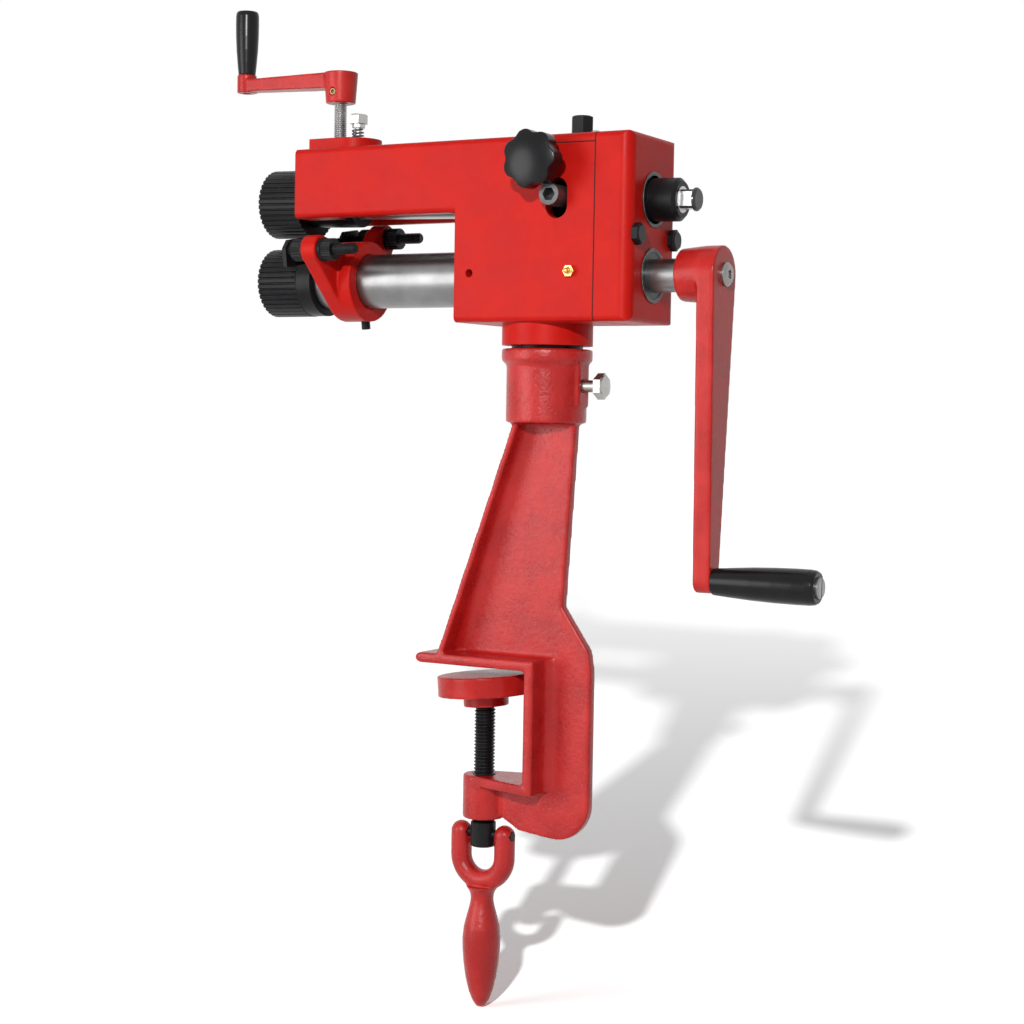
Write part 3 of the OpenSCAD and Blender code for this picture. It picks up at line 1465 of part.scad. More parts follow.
module knob_shape() {
  step = full_turn / knob_lobes;
  difference() {
    union() {
      circle(r = knob_d / two - lobe_r * base_share);
      for (i = [1:knob_lobes]) rotate(i * step) translate([knob_d / two - lobe_r, 0]) circle(r = lobe_r);
    }
    for (i = [1:knob_lobes]) rotate((i + half_share) * step)
      translate([knob_d / two + scallop_r * hollow_share, 0]) circle(r = scallop_r);
  }
}

module lock_knob() {
  knob_back = -half_y - knob_gap;
  translate([clamp_x, 0, 0])
  color([0.1, 0.1, 0.1])
  translate([knob_x, 0, knob_z]) difference() {
    union() {
      intersection() {
        translate([0, knob_back, 0]) rotate([quarter_turn, 0, 0]) linear_extrude(knob_t) knob_shape();
        translate([0, knob_back - knob_t + knob_face_r, 0]) sphere(r = knob_face_r);
      }
      rod_y(knob_back - over, -half_y - air, knob_collar_d / two);
    }
    rod_y(knob_back - knob_t / two, 0, knob_stud_d / two + seat_fit);
  }
}

module lock_stud() {
  translate([clamp_x, 0, 0])
  color([0.6, 0.6, 0.6])
  translate([knob_x, 0, knob_z]) rod_y(-half_y - knob_gap - knob_t / two, -inner_y + over, knob_stud_d / two);
}

// Fence bracket on the tube, turned a little round it, with plate, studs and nuts.
module on_bracket() {
  on_lower() rotate([bracket_turn, 0, 0]) children();
}

module at_studs(at = sides) {
  for (s = at) translate([0, s * stud_half, stud_rise]) children();
}

bracket_front = -bracket_x;
ear_back = bracket_front + ear_t;
hub_back = bracket_front + bracket_hub_w;
set_share = 0.66;
set_x = bracket_front + bracket_hub_w * set_share;
fence_back = -fence_x;
fence_face = -fence_x - fence_t;
low_share = 0.6;
wide_share = 0.8;
ear_share = 0.34;

module bracket_outline() {
  hub_r = bracket_hub_d / two;
  ear_in = ear_d * ear_share;
  low = -hub_r * low_share;
  polygon([[-stud_half - ear_in, stud_rise - ear_in], [-hub_r * wide_share, low], [hub_r * wide_share, low],
    [stud_half + ear_in, stud_rise - ear_in], [stud_half, stud_rise + ear_d / two],
    [stud_half - ear_d / two, stud_rise + ear_in], [hub_r / two, -low], [-hub_r / two, -low],
    [-stud_half + ear_d / two, stud_rise + ear_in], [-stud_half, stud_rise + ear_d / two]]);
  for (s = sides) translate([s * stud_half, stud_rise]) circle(r = ear_d / two);
}

module fence_bracket() {
  translate([clamp_x, 0, 0])
  color([0.8, 0.1, 0.08])
  on_bracket() difference() {
    union() {
      crosswise(bracket_front, ear_back) bracket_outline();
      rod_x(bracket_front, hub_back, bracket_hub_d / two);
    }
    rod_x(bracket_front - over, hub_back + over, tube_r + run_fit);
    at_studs() rod_x(bracket_front - over, ear_back + over, stud_d / two + run_fit);
    translate([set_x, 0, 0]) rod_z(-bracket_hub_d, 0, set_d / two + seat_fit);
  }
}

module bracket_set_screw() {
  translate([clamp_x, 0, 0])
  color([0.1, 0.1, 0.1])
  on_bracket() translate([set_x, 0, 0]) rod_z(-bracket_hub_d / two - set_out, -tube_r - run_fit, set_d / two);
}

module fence_outline() {
  corner = fence_half - fence_cut;
  dip_y = notch_r - fence_dip;
  polygon([[-fence_half, fence_low], [fence_half, fence_low], [fence_half, fence_high - fence_cut],
    [corner, fence_high], [notch_r, fence_high], [dip_y, fence_high - fence_dip],
    [-dip_y, fence_high - fence_dip], [-notch_r, fence_high], [-corner, fence_high],
    [-fence_half, fence_high - fence_cut]]);
}

module fence_plate() {
  translate([clamp_x, 0, 0])
  color([0.1, 0.1, 0.1])
  on_bracket() difference() {
    crosswise(fence_face, fence_back) difference() {
      fence_outline();
      circle(r = notch_r);
    }
    at_studs() rod_x(fence_face - over, 0, stud_d / two + seat_fit);
  }
}

module fence_studs() {
  translate([clamp_x, 0, 0])
  color([0.12, 0.12, 0.12])
  on_bracket() at_studs() rod_x(fence_face, fence_back + stud_l, stud_d / two);
}

// Knurled nut: out is 1 where its flange looks forward and -1 where it looks back.
module knurled_nut(x0, out) {
  step = half_turn / nut_grooves;
  flange_x = out > 0 ? x0 : x0 - nut_flange_t;
  body_x = out > 0 ? x0 + nut_flange_t : x0 - nut_t;
  body_r = nut_d / two - nut_step;
  difference() {
    union() {
      rod_x(flange_x, flange_x + nut_flange_t, nut_d / two);
      translate([body_x, 0, 0]) rotate([0, quarter_turn, 0]) linear_extrude(nut_t - nut_flange_t)
        polygon([for (i = [1:nut_grooves * two])
          let (r = body_r - (i % two) * nut_groove, a = i * step) [r * cos(a), r * sin(a)]]);
    }
    rod_x(x0 - nut_t - over, x0 + nut_t + over, stud_d / two + run_fit);
  }
}

module near_front_nut() {
  translate([clamp_x, 0, 0])
  color([0.12, 0.12, 0.12])
  on_bracket() at_studs([-1]) knurled_nut(bracket_front - run_fit, -1);
}

module near_rear_nut() {
  translate([clamp_x, 0, 0])
  color([0.12, 0.12, 0.12])
  on_bracket() at_studs([-1]) knurled_nut(ear_back + run_fit, 1);
}

module far_front_nut() {
  translate([clamp_x, 0, 0])
  color([0.12, 0.12, 0.12])
  on_bracket() at_studs([1]) knurled_nut(bracket_front - run_fit, -1);
}

module far_rear_nut() {
  translate([clamp_x, 0, 0])
  color([0.12, 0.12, 0.12])
  on_bracket() at_studs([1]) knurled_nut(ear_back + run_fit, 1);
}

stand_casting();
thrust_ring();
socket_bolt();
thrust_ball();
clamp_pad();
clamp_screw();
fork_pin();
fork_handle();
head_casting();
chamber_lid();
lid_screw();
rear_cover();
cover_bolts();
support_tube();
front_bush();
middle_bush();
lower_rear_bush();
upper_rear_ring();
pivot_pins();
side_nipple();
top_nipple();
lift_spring();
lower_shaft();
lower_gear();
lower_roller();
lower_roller_screw();
drive_crank();
drive_crank_screw();
drive_grip_pin();
drive_grip();
front_block();
rocking_ring();
lift_bolt();
adjusting_sleeve();
sleeve_pin();
upper_shaft();
upper_gear();
upper_roller();
upper_roller_screw();
rear_collar();
thrust_button();
press_screw();
top_crank();
top_grip_pin();
top_grip();
lock_knob();
lock_stud();
fence_bracket();
bracket_set_screw();
fence_plate();
fence_studs();
near_front_nut();
near_rear_nut();
far_front_nut();
far_rear_nut();
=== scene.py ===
# %% [markdown]
# A hand cranked bead roller, dressed for a picture. The solid model is a fixed
# frame: it says where each piece is and how it moves. Everything made here sits
# on that frame in metres, so a piece goes where the solid says, with no fitting.

import json
import math

import bmesh
import bpy
from mathutils import Matrix, Vector


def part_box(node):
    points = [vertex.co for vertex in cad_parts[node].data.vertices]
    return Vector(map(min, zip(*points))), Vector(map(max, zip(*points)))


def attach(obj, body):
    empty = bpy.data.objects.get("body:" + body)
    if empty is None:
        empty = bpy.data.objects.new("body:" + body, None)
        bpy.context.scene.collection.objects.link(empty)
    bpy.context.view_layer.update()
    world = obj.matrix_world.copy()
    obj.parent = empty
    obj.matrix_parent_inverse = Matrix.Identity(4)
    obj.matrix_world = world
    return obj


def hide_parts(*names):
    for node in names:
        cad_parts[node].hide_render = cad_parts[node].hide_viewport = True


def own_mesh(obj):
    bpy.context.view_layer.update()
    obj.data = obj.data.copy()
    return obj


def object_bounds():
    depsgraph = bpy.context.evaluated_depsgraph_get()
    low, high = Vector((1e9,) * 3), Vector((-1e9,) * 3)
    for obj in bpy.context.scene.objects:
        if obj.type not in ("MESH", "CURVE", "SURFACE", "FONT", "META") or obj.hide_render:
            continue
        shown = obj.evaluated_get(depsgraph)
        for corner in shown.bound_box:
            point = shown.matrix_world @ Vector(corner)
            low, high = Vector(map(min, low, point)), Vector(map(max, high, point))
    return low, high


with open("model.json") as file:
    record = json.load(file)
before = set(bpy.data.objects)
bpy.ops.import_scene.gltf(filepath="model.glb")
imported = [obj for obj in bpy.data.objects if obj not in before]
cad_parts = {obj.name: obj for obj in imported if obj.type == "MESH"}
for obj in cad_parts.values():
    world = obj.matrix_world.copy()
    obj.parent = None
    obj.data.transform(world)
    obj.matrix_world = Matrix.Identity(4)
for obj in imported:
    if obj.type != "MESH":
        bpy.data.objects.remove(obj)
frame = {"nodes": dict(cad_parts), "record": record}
nodes = frame["nodes"]
solid_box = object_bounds()
MM = 0.001
print("solid pieces:", len(nodes), "box:", [round(v, 4) for c in solid_box for v in c])

# %% [markdown]
# The camera stands where the photographer stood: in front and to the right, a
# little above the middle of the machine. Its direction comes from three turns
# that were fitted to the edges seen in the picture, so they are kept as angles
# and turned into the camera's own axes here.

# %% The camera
VIEW_AROUND = math.radians(29.25)
VIEW_DOWN = math.radians(2.99)
VIEW_ROLL = math.radians(0.96)
CAMERA_AT = Vector((0.86313, -1.49857, 0.22200))


def camera_axes():
    """Returns the camera's right, up and backward directions."""
    forward = Vector((-math.sin(VIEW_AROUND) * math.cos(VIEW_DOWN),
                      math.cos(VIEW_AROUND) * math.cos(VIEW_DOWN),
                      -math.sin(VIEW_DOWN)))
    level = Vector((math.cos(VIEW_AROUND), math.sin(VIEW_AROUND), 0))
    above = level.cross(forward)
    right = level * math.cos(VIEW_ROLL) + above * math.sin(VIEW_ROLL)
    up = above * math.cos(VIEW_ROLL) - level * math.sin(VIEW_ROLL)
    return right, up, -forward


camera = bpy.data.objects.new("camera", bpy.data.cameras.new("camera"))
camera.data.sensor_width = 36
camera.data.lens = 69.29
camera.data.shift_y = 0.0018
turn = Matrix(camera_axes()).transposed().to_4x4()
camera.matrix_world = Matrix.Translation(CAMERA_AT) @ turn
bpy.context.scene.collection.objects.link(camera)
bpy.context.scene.camera = camera
print("camera at", [round(v, 3) for v in CAMERA_AT])

# %% [markdown]
# Several finishes share the same small effects. Each effect is a node group with
# named inputs and outputs, built once. A group gives out only colours, masks,
# values and normals, and the shader itself stays in the material.

# %% A helper for node groups


def new_group(name, inputs, outputs):
    """Makes an empty shader node group with the given sockets."""
    tree = bpy.data.node_groups.new(name, "ShaderNodeTree")
    for label, kind, value in inputs:
        socket = tree.interface.new_socket(name=label, in_out="INPUT", socket_type=kind)
        if value is not None:
            socket.default_value = value
    for label, kind in outputs:
        tree.interface.new_socket(name=label, in_out="OUTPUT", socket_type=kind)
    first = tree.nodes.new("NodeGroupInput")
    last = tree.nodes.new("NodeGroupOutput")
    return tree, first, last


def add(tree, kind, **settings):
    """Adds a node and sets its properties."""
    node = tree.nodes.new(kind)
    for key, value in settings.items():
        setattr(node, key, value)
    return node


FLOAT, VECTOR = "NodeSocketFloat", "NodeSocketVector"

# %% [markdown]
# Sand casting leaves a skin of small lumps and pits, which paint softens but does
# not hide. Two noises make it: a broad one for the slow swell of the surface and
# a fine one for the grain. They read Object coordinates, so the skin stays put
# when the piece moves.

# %% Cast skin


def build_cast_skin():
    """Makes the group for the lumps and pits of a sand casting."""
    tree, first, last = new_group(
        "cast skin",
        [("Grain size", FLOAT, 260.0), ("Swell size", FLOAT, 38.0), ("Pits", FLOAT, 0.4)],
        [("Height", FLOAT), ("Mottle", FLOAT)])
    link = tree.links.new
    place = add(tree, "ShaderNodeTexCoord")
    grain = add(tree, "ShaderNodeTexNoise")
    grain.inputs["Detail"].default_value = 5
    grain.inputs["Roughness"].default_value = 0.62
    swell = add(tree, "ShaderNodeTexNoise")
    swell.inputs["Detail"].default_value = 2
    pit = add(tree, "ShaderNodeTexVoronoi", feature="F1")
    pit_depth = add(tree, "ShaderNodeMapRange")
    pit_depth.inputs["From Min"].default_value = 0.0
    pit_depth.inputs["From Max"].default_value = 0.22
    pit_depth.inputs["To Min"].default_value = -1.0
    pit_depth.inputs["To Max"].default_value = 0.0
    pit_share = add(tree, "ShaderNodeMath", operation="MULTIPLY")
    both = add(tree, "ShaderNodeMath", operation="ADD")
    total = add(tree, "ShaderNodeMath", operation="ADD")
    for texture, size in ((grain, "Grain size"), (swell, "Swell size"), (pit, "Grain size")):
        link(place.outputs["Object"], texture.inputs["Vector"])
        link(first.outputs[size], texture.inputs["Scale"])
    link(pit.outputs["Distance"], pit_depth.inputs["Value"])
    link(pit_depth.outputs["Result"], pit_share.inputs[0])
    link(first.outputs["Pits"], pit_share.inputs[1])
    link(grain.outputs["Fac"], both.inputs[0])
    link(swell.outputs["Fac"], both.inputs[1])
    link(both.outputs[0], total.inputs[0])
    link(pit_share.outputs[0], total.inputs[1])
    link(total.outputs[0], last.inputs["Height"])
    link(swell.outputs["Fac"], last.inputs["Mottle"])
    return tree


cast_skin = build_cast_skin()
print("group:", cast_skin.name)

# %% [markdown]
# No real edge is perfectly sharp. The Bevel node rounds the shading at an edge without more faces, and the
# angle between that soft normal and the true one makes a mask of the edges, where paint wears thin and
# metal is rubbed bright, and where the red paints also get a painted highlight.

# %% Soft edges and their mask


def build_edges():
    """Makes the group that softens edges and marks where they wear."""
    tree, first, last = new_group(
        "soft edges",
        [("Radius", FLOAT, 0.0008), ("Edge patch size", FLOAT, 120.0)],
        [("Normal", VECTOR), ("Edge", FLOAT)])
    link = tree.links.new
    soft = add(tree, "ShaderNodeBevel", samples=6)
    true = add(tree, "ShaderNodeNewGeometry")
    dot = add(tree, "ShaderNodeVectorMath", operation="DOT_PRODUCT")
    bend = add(tree, "ShaderNodeMapRange")
    bend.inputs["From Min"].default_value = 0.985
    bend.inputs["From Max"].default_value = 0.80
    place = add(tree, "ShaderNodeTexCoord")
    patches = add(tree, "ShaderNodeTexNoise")
    patches.inputs["Detail"].default_value = 4
    # This mask lightens the edges: worn paint and rubbed metal, and on the red paints a painted highlight.
    edge_wear_and_highlight = add(tree, "ShaderNodeMath", operation="MULTIPLY")
    link(first.outputs["Radius"], soft.inputs["Radius"])
    link(soft.outputs["Normal"], dot.inputs[0])
    link(true.outputs["Normal"], dot.inputs[1])
    link(dot.outputs["Value"], bend.inputs["Value"])
    link(place.outputs["Object"], patches.inputs["Vector"])
    link(first.outputs["Edge patch size"], patches.inputs["Scale"])
    link(bend.outputs["Result"], edge_wear_and_highlight.inputs[0])
    link(patches.outputs["Fac"], edge_wear_and_highlight.inputs[1])
    link(soft.outputs["Normal"], last.inputs["Normal"])
    link(edge_wear_and_highlight.outputs[0], last.inputs["Edge"])
    return tree


soft_edges = build_edges()
print("group:", soft_edges.name)

# %% [markdown]
# A turned part carries fine rings from the cutting tool. The rings are a wave
# along one direction of the piece, broken up a little by noise.

# %% Tool marks


def build_tool_marks():
    """Makes the group for the fine rings of a turned part."""
    tree, first, last = new_group(
        "tool marks",
        [("Direction", VECTOR, (1, 0, 0)), ("Size", FLOAT, 900.0)],
        [("Height", FLOAT), ("Streak", FLOAT)])
    link = tree.links.new
    place = add(tree, "ShaderNodeTexCoord")
    along = add(tree, "ShaderNodeVectorMath", operation="DOT_PRODUCT")
    rings = add(tree, "ShaderNodeTexNoise", noise_dimensions="1D")
    rings.inputs["Detail"].default_value = 3
    rings.inputs["Roughness"].default_value = 0.7
    smear = add(tree, "ShaderNodeTexNoise")
    smear.inputs["Scale"].default_value = 45
    link(place.outputs["Object"], along.inputs[0])
    link(first.outputs["Direction"], along.inputs[1])
    link(along.outputs["Value"], rings.inputs["W"])
    link(first.outputs["Size"], rings.inputs["Scale"])
    link(place.outputs["Object"], smear.inputs["Vector"])
    link(rings.outputs["Fac"], last.inputs["Height"])
    link(smear.outputs["Fac"], last.inputs["Streak"])
    return tree


tool_marks = build_tool_marks()
print("group:", tool_marks.name)

# %% [markdown]
# A material is a Principled shader fed by these groups. The colour and the
# roughness drift between two values that are close together, because one flat
# colour never looks like a real finish.

# %% Helpers for materials


def blank_material(name):
    """Returns a new material with its node tree and its shader."""
    material = bpy.data.materials.new(name)
    material.use_nodes = True
    tree = material.node_tree
    shader = tree.nodes["Principled BSDF"]
    return material, tree, shader


def put_group(tree, group, **values):
    """Places a group in a material and sets its inputs."""
    node = add(tree, "ShaderNodeGroup", node_tree=group)
    for key, value in values.items():
        node.inputs[key.replace("_", " ")].default_value = value
    return node


def drift(tree, mask, low, high, start=0.35, end=0.65):
    """Moves a value from low to high where the mask goes from start to end."""
    node = add(tree, "ShaderNodeMapRange")
    node.inputs["From Min"].default_value = start
    node.inputs["From Max"].default_value = end
    node.inputs["To Min"].default_value = low
    node.inputs["To Max"].default_value = high
    tree.links.new(mask, node.inputs["Value"])
    return node.outputs["Result"]


def mix_colour(tree, mask, one, two):
    """Goes from one colour to the other with the mask. Each is a value or a socket."""
    node = add(tree, "ShaderNodeMix", data_type="RGBA")
    tree.links.new(mask, node.inputs[0])
    for socket, value in ((node.inputs[6], one), (node.inputs[7], two)):
        if isinstance(value, bpy.types.NodeSocket):
            tree.links.new(value, socket)
        else:
            socket.default_value = (*value, 1)
    return node.outputs[2]


def bump(tree, shader, height, depth, normal):
    """Raises the surface by a height, on top of a normal that is soft already."""
    node = add(tree, "ShaderNodeBump")
    node.inputs["Strength"].default_value = 1
    node.inputs["Distance"].default_value = depth
    tree.links.new(height, node.inputs["Height"])
    tree.links.new(normal, node.inputs["Normal"])
    tree.links.new(node.outputs["Normal"], shader.inputs["Normal"])


# %% [markdown]
# The castings carry one thick coat of bright red paint. On the machined head the coat is smooth and only
# half shiny. On the stand and the small castings the rough skin shows through and the light breaks on it,
# so they get a deeper bump and more gloss. Paint is thin on the edges, so the edges turn a shade lighter,
# and that lighter edge is also a painted highlight.

# %% Red paint


def red_paint(name, colour, dark, edge, grain, depth, rough, gloss, radius):
    """Makes a red that drifts towards a darker one, with a lighter edge that is partly worn paint and
    partly a painted highlight.
    """
    material, tree, shader = blank_material(name)
    skin = put_group(tree, cast_skin, Grain_size=grain)
    edges = put_group(tree, soft_edges, Radius=radius)
    body = mix_colour(tree, drift(tree, skin.outputs["Mottle"], 0, 1), dark, colour)
    # The lighter edge colour is partly paint worn thin and partly a painted highlight.
    edge_wear_and_highlight = mix_colour(tree, drift(tree, edges.outputs["Edge"], 0, 0.8, 0.1, 0.6), body, edge)
    tree.links.new(edge_wear_and_highlight, shader.inputs["Base Color"])
    tree.links.new(drift(tree, skin.outputs["Height"], rough - 0.06, rough + 0.08, 0.6, 1.4),
                   shader.inputs["Roughness"])
    shader.inputs["Specular IOR Level"].default_value = gloss
    bump(tree, shader, skin.outputs["Height"], depth, edges.outputs["Normal"])
    return material


# The third colour of each red is its lighter edge: worn paint and a painted highlight.
RED = (0.60, 0.013, 0.008)
RED_DARK = (0.54, 0.009, 0.006)
RED_EDGE_WEAR_AND_HIGHLIGHT = (0.68, 0.060, 0.050)
smooth_red = red_paint("red paint on the head", RED, RED_DARK, RED_EDGE_WEAR_AND_HIGHLIGHT,
                       grain=190, depth=0.00005, rough=0.40, gloss=0.12, radius=0.0012)
cast_red = red_paint("red paint on rough castings", (0.55, 0.022, 0.020), (0.43, 0.011, 0.010),
                     (0.70, 0.170, 0.160), grain=300, depth=0.00042, rough=0.28, gloss=0.34,
                     radius=0.0006)
crank_red = red_paint("red paint on the cranks", (0.57, 0.026, 0.022), (0.46, 0.012, 0.010),
                      (0.70, 0.140, 0.130), grain=240, depth=0.00012, rough=0.30, gloss=0.24,
                      radius=0.0006)
print("red paints ready")

# %% [markdown]
# The other finishes are black oxide on the rollers and fasteners, turned steel on
# the tube and shafts, a paler steel on the threads, zinc on two bolts, brass on
# the grease nipple and black plastic on the grips and the knob. A few pieces are
# in between: the rings in the rear cover are dark with rubbed edges, the screw of
# the drive crank is grey, the set screw is dull brass, and the sleeve's pin and
# the spring are dark steel. The room is all white, and real gloss would turn the
# black and the steel pale in it, so both are set darker and less shiny here.

# %% Metal and plastic finishes


def metal(name, colour, dark, rough, marks, direction, size, depth, radius=0.0005,
          metallic=1.0, edge=None, gloss=0.5):
    """Makes a metal, or with no metallic share a dark coat on metal."""
    material, tree, shader = blank_material(name)
    rings = put_group(tree, tool_marks, Direction=direction, Size=size)
    edges = put_group(tree, soft_edges, Radius=radius)
    body = mix_colour(tree, drift(tree, rings.outputs["Streak"], 0, 1), dark, colour)
    edge_wear_and_highlight = mix_colour(tree, drift(tree, edges.outputs["Edge"], 0, 1, 0.1, 0.6), body, edge or colour)
    tree.links.new(edge_wear_and_highlight, shader.inputs["Base Color"])
    tree.links.new(drift(tree, rings.outputs["Height"], rough - marks, rough + marks),
                   shader.inputs["Roughness"])
    shader.inputs["Metallic"].default_value = metallic
    shader.inputs["Specular IOR Level"].default_value = gloss
    bump(tree, shader, rings.outputs["Height"], depth, edges.outputs["Normal"])
    return material


ALONG, UP = (1, 0, 0), (0, 0, 1)
turned_steel = metal("turned steel", (0.25, 0.25, 0.25), (0.20, 0.20, 0.20), rough=0.34,
                     marks=0.06, direction=ALONG, size=1500, depth=0.00002)
threaded_steel = metal("threaded steel", (0.42, 0.42, 0.41), (0.30, 0.30, 0.30), rough=0.38,
                       marks=0.06, direction=UP, size=1500, depth=0.00002)
zinc = metal("zinc plate", (0.46, 0.46, 0.44), (0.36, 0.36, 0.34), rough=0.34,
             marks=0.05, direction=UP, size=300, depth=0.00002)
brass = metal("brass", (0.72, 0.48, 0.16), (0.60, 0.38, 0.11), rough=0.28,
              marks=0.05, direction=UP, size=500, depth=0.00002)
black_steel = metal("black oxide", (0.010, 0.010, 0.011), (0.005, 0.005, 0.006), rough=0.36,
                    marks=0.06, direction=ALONG, size=700, depth=0.00003, metallic=0.0,
                    edge=(0.050, 0.050, 0.052), gloss=0.14)
ring_steel = metal("ring steel", (0.030, 0.030, 0.030), (0.020, 0.020, 0.020), rough=0.34,
                   marks=0.05, direction=ALONG, size=900, depth=0.00002, radius=0.0008,
                   metallic=0.5, edge=(0.62, 0.61, 0.60))
grey_steel = metal("grey steel", (0.30, 0.29, 0.28), (0.22, 0.21, 0.20), rough=0.36,
                   marks=0.05, direction=UP, size=700, depth=0.00002)
dull_brass = metal("dull brass", (0.34, 0.23, 0.12), (0.22, 0.14, 0.07), rough=0.40,
                   marks=0.05, direction=UP, size=500, depth=0.00002)
dark_screw = metal("dark screw steel", (0.10, 0.10, 0.10), (0.06, 0.06, 0.062), rough=0.38,
                   marks=0.06, direction=UP, size=900, depth=0.00002, metallic=0.7,
                   edge=(0.20, 0.20, 0.20))


def plastic(name, colour, dark, rough, depth, gloss):
    """Makes a moulded plastic with a very fine grain."""
    material, tree, shader = blank_material(name)
    shader.inputs["Specular IOR Level"].default_value = gloss
    skin = put_group(tree, cast_skin, Grain_size=900, Swell_size=60, Pits=0)
    edges = put_group(tree, soft_edges, Radius=0.0008)
    body = mix_colour(tree, drift(tree, skin.outputs["Mottle"], 0, 1), dark, colour)
    tree.links.new(body, shader.inputs["Base Color"])
    tree.links.new(drift(tree, skin.outputs["Height"], rough - 0.04, rough + 0.05, 0.6, 1.4),
                   shader.inputs["Roughness"])
    bump(tree, shader, skin.outputs["Height"], depth, edges.outputs["Normal"])
    return material


black_plastic = plastic("black plastic", (0.005, 0.005, 0.006), (0.003, 0.003, 0.004),
                        rough=0.24, depth=0.00002, gloss=0.22)
print("finishes ready")

# %% [markdown]
# The tail of the upper shaft is black, except for its milled flats, which shine.
# One mask takes the place along the shaft and a second one the way the surface
# faces, and together they choose between the black and the bright colour.

# %% The square tail of the upper shaft
TAIL_START = 0.1815
FLAT_FACING = 0.998


def build_tail_steel():
    """Makes bright steel that is black on the round part of the tail."""
    material, tree, shader = blank_material("shaft steel with a black tail")
    link = tree.links.new
    place = add(tree, "ShaderNodeTexCoord")
    split = add(tree, "ShaderNodeSeparateXYZ")
    facing = add(tree, "ShaderNodeSeparateXYZ")
    link(place.outputs["Object"], split.inputs[0])
    link(place.outputs["Normal"], facing.inputs[0])
    behind = add(tree, "ShaderNodeMath", operation="GREATER_THAN")
    behind.inputs[1].default_value = TAIL_START
    link(split.outputs["X"], behind.inputs[0])
    sizes = []
    for axis in "YZ":
        size = add(tree, "ShaderNodeMath", operation="ABSOLUTE")
        link(facing.outputs[axis], size.inputs[0])
        sizes.append(size)
    most = add(tree, "ShaderNodeMath", operation="MAXIMUM")
    link(sizes[0].outputs[0], most.inputs[0])
    link(sizes[1].outputs[0], most.inputs[1])
    round_part = add(tree, "ShaderNodeMath", operation="LESS_THAN")
    round_part.inputs[1].default_value = FLAT_FACING
    link(most.outputs[0], round_part.inputs[0])
    black = add(tree, "ShaderNodeMath", operation="MULTIPLY")
    link(behind.outputs[0], black.inputs[0])
    link(round_part.outputs[0], black.inputs[1])
    rings = put_group(tree, tool_marks, Direction=ALONG, Size=1200)
    bright = mix_colour(tree, rings.outputs["Streak"], (0.44, 0.44, 0.44), (0.56, 0.56, 0.56))
    link(mix_colour(tree, black.outputs[0], bright, (0.018, 0.018, 0.019)), shader.inputs["Base Color"])
    link(drift(tree, black.outputs[0], 0.9, 0.0, 0, 1), shader.inputs["Metallic"])
    link(drift(tree, rings.outputs["Height"], 0.28, 0.40), shader.inputs["Roughness"])
    edges = put_group(tree, soft_edges, Radius=0.0004)
    bump(tree, shader, rings.outputs["Height"], 0.00002, edges.outputs["Normal"])
    return material


tail_steel = build_tail_steel()
print("tail finish ready")

# %% [markdown]
# Each solid takes its finish here, also the few that a finer piece stands for
# later on. The list goes finish by finish, so that a reader sees at once which
# pieces are painted and which are bare metal.

# %% Finishes on the solids
FINISHES = [
    (smooth_red, "head_casting chamber_lid rear_cover"),
    (cast_red, "stand_casting clamp_pad fork_handle fence_bracket"),
    (crank_red, "drive_crank top_crank"),
    (turned_steel, "support_tube lower_shaft lower_gear upper_gear rocking_ring pivot_pins drive_grip_pin "
                   "front_bush middle_bush"),
    (threaded_steel, "press_screw thrust_button thrust_ball lift_spring top_grip_pin lock_stud"),
    (zinc, "socket_bolt lift_bolt top_nipple"),
    (brass, "side_nipple"),
    (dark_screw, "sleeve_pin"),
    (grey_steel, "drive_crank_screw"),
    (ring_steel, "lower_rear_bush upper_rear_ring"),
    (black_steel, "clamp_screw fork_pin lid_screw cover_bolts front_block adjusting_sleeve rear_collar "
                  "lower_roller upper_roller lower_roller_screw upper_roller_screw bracket_set_screw "
                  "fence_plate fence_studs near_front_nut near_rear_nut far_front_nut far_rear_nut "
                  "thrust_ring"),
    (black_plastic, "drive_grip top_grip lock_knob"),
]


def wear(piece, material):
    """Gives a piece one material."""
    piece.data.materials.clear()
    piece.data.materials.append(material)


for material, names in FINISHES:
    for name in names.split():
        wear(nodes[name], material)
wear(nodes["upper_shaft"], tail_steel)
print("finished solids:", sum(len(names.split()) for _, names in FINISHES))

# %% [markdown]
# A casting has no sharp edges: sand and paint round every corner. A bevel on the
# solid would have to work out hundreds of odd corners, so each rough casting is
# copied instead, given an even skin of small squares by a voxel remesh, and
# smoothed a little. The flats stay flat and the corners go round by about the
# size of one or two squares. The head keeps its machined shape and isn't in the
# list.

# %% Soft castings
BODIES = frame["record"]["behaviour"]["bodies"]
BODY_OF = {node: body for body, members in BODIES.items() for node in members}


def hand_over(piece, node, material):
    """Dresses a new piece and lets it stand for a solid, on the same body."""
    wear(piece, material)
    piece.data.shade_smooth()
    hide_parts(node)
    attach(piece, BODY_OF[node])
    return piece


def new_object(name, bm):
    """Turns a bmesh into an object at the origin."""
    mesh = bpy.data.meshes.new(name)
    bm.to_mesh(mesh)
    bm.free()
    piece = bpy.data.objects.new(name, mesh)
    bpy.context.scene.collection.objects.link(piece)
    return piece


def soften(node, name, square, rounds, material):
    """Copies a solid with all its edges rounded off."""
    bm = bmesh.new()
    bm.from_mesh(nodes[node].data)
    bmesh.ops.remove_doubles(bm, verts=bm.verts, dist=0.00001)
    piece = new_object(name, bm)
    skin = piece.modifiers.new("even skin", "REMESH")
    skin.mode = "VOXEL"
    skin.voxel_size = square
    sanding = piece.modifiers.new("round off", "SMOOTH")
    sanding.factor = 0.5
    sanding.iterations = rounds
    ready = piece.evaluated_get(bpy.context.evaluated_depsgraph_get())
    piece.data = bpy.data.meshes.new_from_object(ready)
    piece.modifiers.clear()
    return hand_over(piece, node, material)


